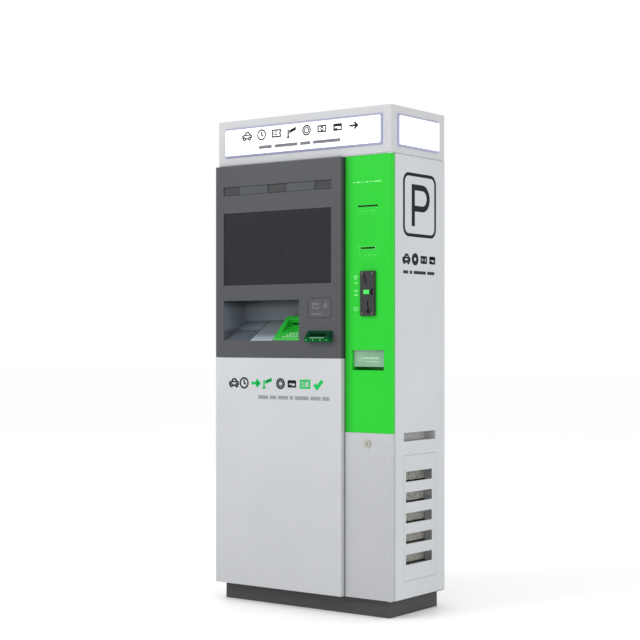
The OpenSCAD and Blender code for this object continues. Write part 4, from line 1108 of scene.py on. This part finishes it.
@dataclass
class Workshop:
    """Shared ways to dress CAD nodes and to add pieces that ride on a body."""

    frame: dict[str, Any]

    def dress(self, finish: Finish, names: str) -> None:
        """Give CAD nodes a finish.

        Args:
            finish: The finish.
            names: Node names with spaces between.
        """
        for name in names.split():
            node = self.frame["nodes"][name]
            node.data.materials.clear()
            node.data.materials.append(finish.material())
            LOG.info("dressed %s in %s", name, finish.name)

    def soften(
        self, node: str, body: Body, slot: str, finish: Finish, width: float, segments: int = 2
    ) -> bpy.types.Object:
        """Stand a copy with rounded edges in place of a CAD node.

        Args:
            node: The node.
            body: The body it rides on.
            slot: Its material slot in the record.
            finish: Its finish.
            width: Width of the rounding.
            segments: Facets across the rounding.

        Returns:
            The copy.
        """
        source = self.frame["nodes"][node]
        work = bmesh.new()
        work.from_mesh(source.data)
        bmesh.ops.remove_doubles(work, verts=work.verts, dist=0.00001)
        bmesh.ops.dissolve_limit(
            work, angle_limit=math.radians(0.6), verts=work.verts, edges=work.edges
        )
        mesh = bpy.data.meshes.new(node + "_soft")
        work.to_mesh(mesh)
        work.free()
        copy = bpy.data.objects.new(node + "_soft", mesh)
        bpy.context.scene.collection.objects.link(copy)
        mesh.shade_smooth()
        mesh.set_sharp_from_angle(angle=math.radians(28))
        rounding = copy.modifiers.new("rounding", "BEVEL")
        rounding.width = width * MM
        rounding.segments = segments
        rounding.limit_method = "ANGLE"
        rounding.angle_limit = math.radians(40)
        rounding.use_clamp_overlap = True
        rounding.harden_normals = True
        self.settle(copy, body, slot, finish)
        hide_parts(node)
        return copy

    def settle(self, piece: bpy.types.Object, body: Body, slot: str, finish: Finish) -> None:
        """Give a new piece its finish and its body.

        Args:
            piece: The piece.
            body: The body it rides on.
            slot: Its material slot in the record; not used.
            finish: Its finish.
        """
        piece.data.materials.clear()
        piece.data.materials.append(finish.material())
        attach(piece, body.value)
        LOG.info("made %s on %s", piece.name, body.value)

    def mark(
        self, face: Face, name: str, sketch: Sketch, body: Body, slot: str, finish: Finish, film: float = 0.15
    ) -> None:
        """Print a sketch on a face.

        Args:
            face: The face.
            name: Name of the new piece.
            sketch: The marks.
            body: The body it rides on.
            slot: Its material slot in the record.
            finish: The ink.
            film: Height of the marks.
        """
        self.settle(face.raised(name, sketch, film), body, slot, finish)


def front_of(node: str, step: float = 0.0) -> Face:
    """Give the front face of a node, drawn across to +X.

    Args:
        node: The node whose foremost plane is the face.
        step: How far behind that plane the face lies.

    Returns:
        The face.
    """
    low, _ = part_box(node)
    return Face(Vector((0, low.y + step * MM, 0)), Vector((1, 0, 0)), Vector((0, -1, 0)))


@dataclass
class Header:
    """The lit header: housing, lid and three opal signs."""

    shop: Workshop
    icon_pitch: float = 67.8
    icon_middle: float = -5.2
    icon_up: float = 1698.0
    small_up: float = 1653.0

    def build(self) -> None:
        """Dress the header and print its pictogram row."""
        shop = self.shop
        shop.soften("header_housing", Body.CABINET, "white_header_paint", HEADER_WHITE, 1.2)
        shop.dress(HEADER_WHITE, "header_lid")
        shop.soften("sign_diffusers", Body.CABINET, "lit_sign", OPAL, 0.8)
        shop.dress(BOARD_WHITE, "sign_led_bars")
        row = Sketch()
        kinds = [Icon.CAR, Icon.CLOCK, Icon.TICKET, Icon.BARRIER, Icon.COIN, Icon.NOTE, Icon.CARD, Icon.ARROW]
        for i, kind in enumerate(kinds):
            place = self.icon_middle + (i - 3.5) * self.icon_pitch
            row.add(icon(kind, 5.0).moved(place, self.icon_up, 1.18))
        sign = front_of("sign_diffusers")
        shop.mark(sign, "header_pictograms", row, Body.CABINET, "lit_sign", INK_DARK)
        small = dashes(-187, 176, self.small_up, 12.0, [4, 7, 3, 8], 0.8)
        shop.mark(sign, "header_small_print", small, Body.CABINET, "lit_sign", INK_SIGN)


@dataclass
class SidePanels:
    """Both side panels, the parking sign on them and the vents on the right."""

    shop: Workshop
    sign_box: tuple[float, float, float, float] = (73.0, 1313.8, 287.0, 1536.3)
    line: float = 11.5
    icon_start: float = 94.0
    icon_pitch: float = 56.0
    icon_up: float = 1236.0
    bars_start: float = 74.0
    bars_end: float = 276.0
    bars_up: float = 1190.0
    vent_pitch: float = 72.0
    vent_count: int = 5
    window_shadow_drop: float = 22.0

    def parking_sign(self) -> Sketch:
        """Draw a P in a rounded frame, in distances from the front plane."""
        s = Sketch().frame(self.sign_box, 34, self.line)
        bowl = arc((198, 1450), 37, 90, -90, 12)
        s.line([(138, 1351), (138, 1487), *bowl, (148, 1413)], 20.5)
        return s

    def paint_window_shadows(self) -> None:
        """Add dark bars of painted shadow across the filter mat, one below each window."""
        low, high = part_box("filter_mat")
        face = Face(Vector((high.x, 0, 0)), Vector((0, 1, 0)), Vector((1, 0, 0)))
        middle = (low.z + high.z) / 2 / MM - self.window_shadow_drop
        s = Sketch()
        for i in range(self.vent_count):
            up = middle + (i - (self.vent_count - 1) / 2) * self.vent_pitch
            s.bar((low.y + high.y) / 2 / MM, up, (high.y - low.y) / MM - 4, 7.0)
        self.shop.mark(face, "filter_window_shadows", s, Body.CABINET, "filter_foam", INK_WINDOW_SHADOW)

    def build(self) -> None:
        """Dress the sides and print their signs."""
        shop = self.shop
        shop.soften("right_side_panel", Body.CABINET, "white_paint", SIDE_WHITE, 0.7)
        shop.soften("left_side_panel", Body.CABINET, "white_paint", SIDE_WHITE, 0.9)
        shop.dress(SIDE_WHITE, "rear_panel")
        shop.dress(TRAY_WHITE, "vent_ducts")
        shop.soften("vent_cover", Body.CABINET, "white_paint", SIDE_WHITE, 0.5)
        shop.dress(FILTER, "filter_mat")
        self.paint_window_shadows()
        shop.dress(STEEL, "rear_screws")
        _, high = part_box("right_side_panel")
        column_low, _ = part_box("column_fascia")
        right = Face(Vector((high.x, column_low.y, 0)), Vector((0, 1, 0)), Vector((1, 0, 0)))
        left = Face(Vector((-high.x, -column_low.y, 0)), Vector((0, -1, 0)), Vector((-1, 0, 0)))
        for name, face in (("right", right), ("left", left)):
            sign = self.parking_sign()
            shop.mark(face, f"{name}_parking_sign", sign, Body.CABINET, "white_paint", INK_BLACK)
            row = Sketch()
            for i, kind in enumerate([Icon.CAR, Icon.COIN, Icon.NOTE, Icon.CARD]):
                row.add(icon(kind, 6.5).moved(self.icon_start + self.icon_pitch * i, self.icon_up, 1.25))
            shop.mark(face, f"{name}_service_pictograms", row, Body.CABINET, "white_paint", INK_BLACK)
            small = dashes(self.bars_start, self.bars_end, self.bars_up, 11, [2, 1, 5, 3], 0.6)
            shop.mark(face, f"{name}_service_bars", small, Body.CABINET, "white_paint", INK_DARK)


@dataclass
class MainDoor:
    """The wide door: fascia with screen and payment units, and white lower skin."""

    shop: Workshop
    end_window: float = 72.0
    camera_window: float = 84.0
    camera_shift: float = 2.5
    slogan_up: float = 798.0
    small_up: float = 748.0

    def build(self) -> None:
        """Dress the door and everything it carries."""
        shop = self.shop
        shop.soften("upper_fascia", Body.MAIN_DOOR, "dark_paint", FASCIA_GREY, 0.6)
        shop.soften("lower_skin", Body.MAIN_DOOR, "white_paint", DOOR_WHITE, 0.6)
        shop.soften("banknote_bezel", Body.MAIN_DOOR, "green_plastic", GREEN_PLASTIC, 1.2, 3)
        shop.soften("card_reader_bezel", Body.MAIN_DOOR, "dark_green_plastic", DARK_GREEN, 1.5, 3)
        shop.soften("contactless_reader", Body.MAIN_DOOR, "reader_face", READER_GREY, 0.6)
        shop.dress(ALCOVE_PLASTIC, "alcove_shell")
        shop.dress(LIP_STEEL, "steel_lip")
        shop.dress(SCREEN, "touch_glass")
        shop.dress(WINDOW, "strip_windows")
        shop.dress(STRIP_PLASTIC, "camera_strip")
        shop.dress(BLACK_PLASTIC, "camera_module display_panel receipt_printer card_reader_module")
        shop.dress(BLACK_PLASTIC, "banknote_acceptor")
        shop.dress(VAULT_GREY, "banknote_cashbox")
        shop.dress(ZINC, "main_door_stiles door_latch_pins")
        shop.dress(PAPER, "paper_roll")
        self.line_strip()
        self.print_slogan()
        self.print_reader()
        self.light_card_mouth()
        self.light_note_bezel()

    def line_strip(self) -> None:
        """Line the joints of the camera strip's windows."""
        low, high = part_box("strip_windows")
        face = front_of("camera_strip")
        left, right = low.x / MM, high.x / MM
        bottom, top = low.z / MM, high.z / MM
        middle = (left + right) / 2 + self.camera_shift
        s = Sketch()
        joints = [left + self.end_window, right - self.end_window]
        joints += [middle - self.camera_window / 2, middle + self.camera_window / 2]
        for x in joints:
            s.bar(x, (bottom + top) / 2, 1.2, top - bottom)
        s.bar((left + right) / 2, top - 0.9, right - left, 1.0)
        s.bar((left + right) / 2, bottom + 0.9, right - left, 1.0)
        self.shop.mark(face, "strip_joints", s, Body.MAIN_DOOR, "dark_paint", INK_SEAM)

    def print_slogan(self) -> None:
        """Print the pictogram groups on the lower skin."""
        face = front_of("lower_skin")
        up = self.slogan_up
        dark = Sketch().add(icon(Icon.CAR, 5.6).moved(-296, up, 1.2))
        dark.add(icon(Icon.CLOCK, 5.6).moved(-248, up, 1.2))
        dark.add(icon(Icon.COIN, 5.6).moved(-80, up, 1.2)).add(icon(Icon.CARD, 5.6).moved(-29, up, 1.2))
        green = Sketch().add(icon(Icon.ARROW, 6.4).moved(-195, up, 1.3))
        green.add(icon(Icon.BARRIER, 6.0).moved(-141, up + 3, 1.2))
        green.add(icon(Icon.TICKET, 6.0).moved(30, up, 1.25)).add(icon(Icon.TICK, 7.0).moved(88, up, 1.35))
        shop, body = self.shop, Body.MAIN_DOOR
        shop.mark(face, "slogan_dark_pictograms", dark, body, "white_paint", INK_DARK)
        shop.mark(face, "slogan_green_pictograms", green, body, "white_paint", INK_GREEN)
        small = dashes(-182, 136, self.small_up, 13, [3, 2, 3, 1, 4, 3, 2], 0.5)
        shop.mark(face, "slogan_small_print", small, body, "white_paint", INK_GREY)

    def print_reader(self) -> None:
        """Print the contactless reader's outline and pictograms."""
        face = front_of("upper_fascia")
        low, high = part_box("contactless_reader")
        middle, up = (low.x + high.x) / 2 / MM, (low.z + high.z) / 2 / MM
        outline = Sketch().frame((middle - 50, up - 34, middle + 50, up + 34), 4, 1.4)
        self.shop.mark(face, "reader_outline", outline, Body.MAIN_DOOR, "reader_face", INK_FAINT)
        s = icon(Icon.CARD, 2.8).moved(middle - 19, up + 8, 0.9)
        s.add(icon(Icon.WAVES, 2.8).moved(middle + 22, up + 8, 1.0))
        s.add(dashes(middle - 34, middle + 8, up - 21, 3.5, [2, 3, 1]))
        self.shop.mark(face, "reader_pictograms", s, Body.MAIN_DOOR, "reader_face", INK_READER)

    def light_card_mouth(self) -> None:
        """Add the small lamps and a pale bar of painted highlight on the card bezel's lip."""
        low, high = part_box("card_reader_bezel")
        face = front_of("card_reader_bezel")
        middle = (low.x + high.x) / 2 / MM
        up = low.z / MM + 8
        lamps = Sketch()
        for x in (-44, -15, 17, 44):
            lamps.disc(middle + x, up, 1.8, 16)
        self.shop.mark(face, "card_lamps", lamps, Body.MAIN_DOOR, "dark_green_plastic", LAMP_GREEN, 0.8)
        # Painted highlight: a pale bar along the lip above the card mouth.
        lip = Sketch().bar(middle + 2, up + 7.2, 62, 1.6)
        self.shop.mark(face, "card_lip_painted_highlight", lip, Body.MAIN_DOOR, "dark_green_plastic", INK_FLAP, 0.5)

    def light_note_bezel(self) -> None:
        """Add the rows of lit chevrons on the banknote bezel's sloping face."""
        low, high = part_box("banknote_bezel")
        right = high.x / MM
        run = math.sqrt(0.5)
        base = Vector((0, low.y, low.z)) + Vector((0, 0, 6 * MM))
        across, slope, out = Vector((1, 0, 0)), Vector((0, run, run)), Vector((0, -run, run))
        work = bmesh.new()

        def put(x: float, s: float, h: float) -> bmesh.types.BMVert:
            """Add one vertex on the sloping face."""
            return work.verts.new(base + (across * x + slope * s + out * h) * MM)

        for row in range(3):
            for column in range(5 - row):
                x = right - 18 - column * 14 - row * 3
                s = 8 + row * 9
                corners = [(x - 5, s), (x + 1, s), (x + 5, s + 6), (x - 1, s + 6)]
                low_ring = [put(a, b, 0.0) for a, b in corners]
                high_ring = [put(a, b, 0.5) for a, b in corners]
                work.faces.new(high_ring)
                work.faces.new(low_ring[::-1])
                for i in range(4):
                    j = (i + 1) % 4
                    work.faces.new([low_ring[i], low_ring[j], high_ring[j], high_ring[i]])
        mesh = bpy.data.meshes.new("note_chevrons")
        work.to_mesh(mesh)
        work.free()
        made = bpy.data.objects.new("note_chevrons", mesh)
        bpy.context.scene.collection.objects.link(made)
        self.shop.settle(made, Body.MAIN_DOOR, "green_plastic", INK_FLAP)


@dataclass
class ColumnDoor:
    """The narrow door: green fascia with ticket, coin and return units, and white lower skin."""

    shop: Workshop

    def build(self) -> None:
        """Dress the column door and print its labels."""
        shop = self.shop
        shop.soften("column_fascia", Body.COLUMN_DOOR, "green_paint", COLUMN_GREEN, 0.6)
        shop.soften("column_lower_skin", Body.COLUMN_DOOR, "white_paint", COLUMN_WHITE, 0.6)
        shop.soften("coin_plate", Body.COLUMN_DOOR, "coin_plate_metal", COIN_PLATE_GREY, 0.6)
        shop.soften("return_flap", Body.FLAP, "flap_plastic", FLAP_TINT, 0.4)
        shop.soften("lock_body", Body.COLUMN_DOOR, "lock_metal", LOCK_NICKEL, 0.5)
        shop.dress(LOCK_NICKEL, "lock_plug")
        shop.dress(CUP_GREEN, "return_cup")
        shop.dress(SLOT_GREEN, "ticket_reader")
        shop.dress(BUTTON_GREEN, "return_button")
        shop.dress(SCREW_STEEL, "coin_plate_screws")
        shop.dress(BLACK_PLASTIC, "coin_acceptor receipt_slit_printer")
        self.print_labels()

    def print_labels(self) -> None:
        """Print the faint labels beside the slots and the coin plate."""
        face = front_of("column_fascia")
        s = Sketch().frame((245, 1390, 329, 1410), 2, 1.1).add(dashes(252, 322, 1400, 4, [3, 2, 4], 1.0))
        s.frame((246, 1236, 328, 1258), 2, 1.1).add(dashes(270, 320, 1247, 4, [2, 3, 2], 1.0))
        s.ring(257, 1247, 5, 1.1)
        s.line([(250, 1188), (217, 1188), (217, 1040), (250, 1040)], 1.1)
        self.shop.mark(face, "column_label_outlines", s, Body.COLUMN_DOOR, "green_paint", INK_LABEL)
        pale = dashes(224, 342, 1500, 4, [1, 3, 1, 2, 1, 5], 1.2)
        pale.add(icon(Icon.COIN, 4.0).moved(236, 1172, 0.5)).add(dashes(230, 244, 1152, 5, [1, 2]))
        pale.add(icon(Icon.ARROW, 4.0).moved(236, 1124, 0.5)).add(dashes(230, 244, 1110, 5, [2, 1]))
        pale.add(icon(Icon.TICKET, 3.0).moved(236, 1062, 0.5))
        self.shop.mark(face, "column_marks", pale, Body.COLUMN_DOOR, "green_paint", INK_PALE_GREEN)
        flap = front_of("return_flap", 2.0)
        marks = icon(Icon.COIN, 2.2).moved(245, 890, 0.6)
        marks.add(dashes(258, 326, 892, 6, [2, 2, 3, 2])).add(dashes(272, 326, 880, 3, [3, 4, 2]))
        self.shop.mark(flap, "flap_print", marks, Body.FLAP, "flap_plastic", INK_FLAP)


@dataclass
class Inside:
    """Everything behind the doors, and the plinth under them."""

    shop: Workshop

    def build(self) -> None:
        """Dress the inner parts."""
        shop = self.shop
        shop.soften("plinth", Body.CABINET, "plinth_paint", PLINTH_GREY, 0.8)
        shop.dress(PLINTH_GREY, "cabinet_floor")
        shop.dress(ZINC, "roof_panel centre_post column_strike latch_guides latch_bar")
        shop.dress(STEEL, "pivot_pins")
        shop.dress(BLACK_PLASTIC, "fan_frame fan_rotor breaker_toggle cable_gland latch_lever controller")
        shop.dress(BREAKER_WHITE, "breaker")
        shop.dress(ZINC, "power_supply coin_chute")
        shop.dress(VAULT_GREY, "coin_vault")


@dataclass
class Studio:
    """Floor, lights and camera."""

    camera_place: tuple[float, float, float] = (3.2175, -4.4328, 0.9591)
    camera_turn: float = 36.35
    lens: float = 84.35
    rise: float = 0.0292

    def build(self) -> None:
        """Set the whole studio."""
        self.lay_floor()
        self.hang_lights()
        self.set_camera()

    def lay_floor(self) -> None:
        """Lay a wide pale floor under the station."""
        work = bmesh.new()
        bmesh.ops.create_grid(work, x_segments=4, y_segments=4, size=30)
        mesh = bpy.data.meshes.new("studio_floor")
        work.to_mesh(mesh)
        work.free()
        floor = bpy.data.objects.new("studio_floor", mesh)
        bpy.context.scene.collection.objects.link(floor)
        floor.location = (0, 0, -0.0005)
        floor.data.materials.append(StudioFloor("studio_floor").material())

    def hang_lights(self) -> None:
        """Light the studio evenly, with one soft key from the front and above."""
        world = bpy.data.worlds.new("studio")
        bpy.context.scene.world = world
        world.use_nodes = True
        background = world.node_tree.nodes["Background"]
        background.inputs[0].default_value = (1.0, 1.0, 1.0, 1.0)
        background.inputs[1].default_value = 1.0
        self.hang_panel("key_panel", (-2.2, -4.0, 3.9), (0, -0.1, 1.1), (3.0, 2.0), 95.0)
        self.hang_panel("side_panel", (4.4, -1.2, 1.2), (0.3, 0, 0.9), (2.6, 2.4), 36.0)

    @staticmethod
    def hang_panel(
        name: str,
        place: tuple[float, float, float],
        target: tuple[float, float, float],
        size: tuple[float, float],
        power: float,
    ) -> None:
        """Hang one soft panel light.

        Args:
            name: Its name.
            place: Where it hangs, in metres.
            target: The point it looks at.
            size: Its width and height.
            power: Its power in watts.
        """
        data = bpy.data.lights.new(name, "AREA")
        data.shape = "RECTANGLE"
        data.size, data.size_y = size
        data.energy = power
        lamp = bpy.data.objects.new(name, data)
        lamp.location = place
        lamp.rotation_euler = (Vector(target) - Vector(place)).to_track_quat("-Z", "Y").to_euler()
        bpy.context.scene.collection.objects.link(lamp)

    def set_camera(self) -> None:
        """Place the camera level, in front and to the right."""
        data = bpy.data.cameras.new("camera")
        data.lens = self.lens
        data.sensor_width = 36.0
        data.shift_y = self.rise
        camera = bpy.data.objects.new("camera", data)
        camera.location = self.camera_place
        camera.rotation_euler = (math.radians(90), 0, math.radians(self.camera_turn))
        bpy.context.scene.collection.objects.link(camera)
        bpy.context.scene.camera = camera
        bpy.context.scene.view_settings.view_transform = "Standard"
        bpy.context.scene.view_settings.look = "None"


def main() -> None:
    """Build the looks around the frame, in order."""
    logging.basicConfig(level=logging.INFO, format="%(name)s: %(message)s")
    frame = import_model()
    shop = Workshop(frame)
    for part in (Header(shop), SidePanels(shop), MainDoor(shop), ColumnDoor(shop), Inside(shop)):
        part.build()
        LOG.info("finished %s", type(part).__name__)
    Studio().build()


if __name__ == "__main__":
    main()
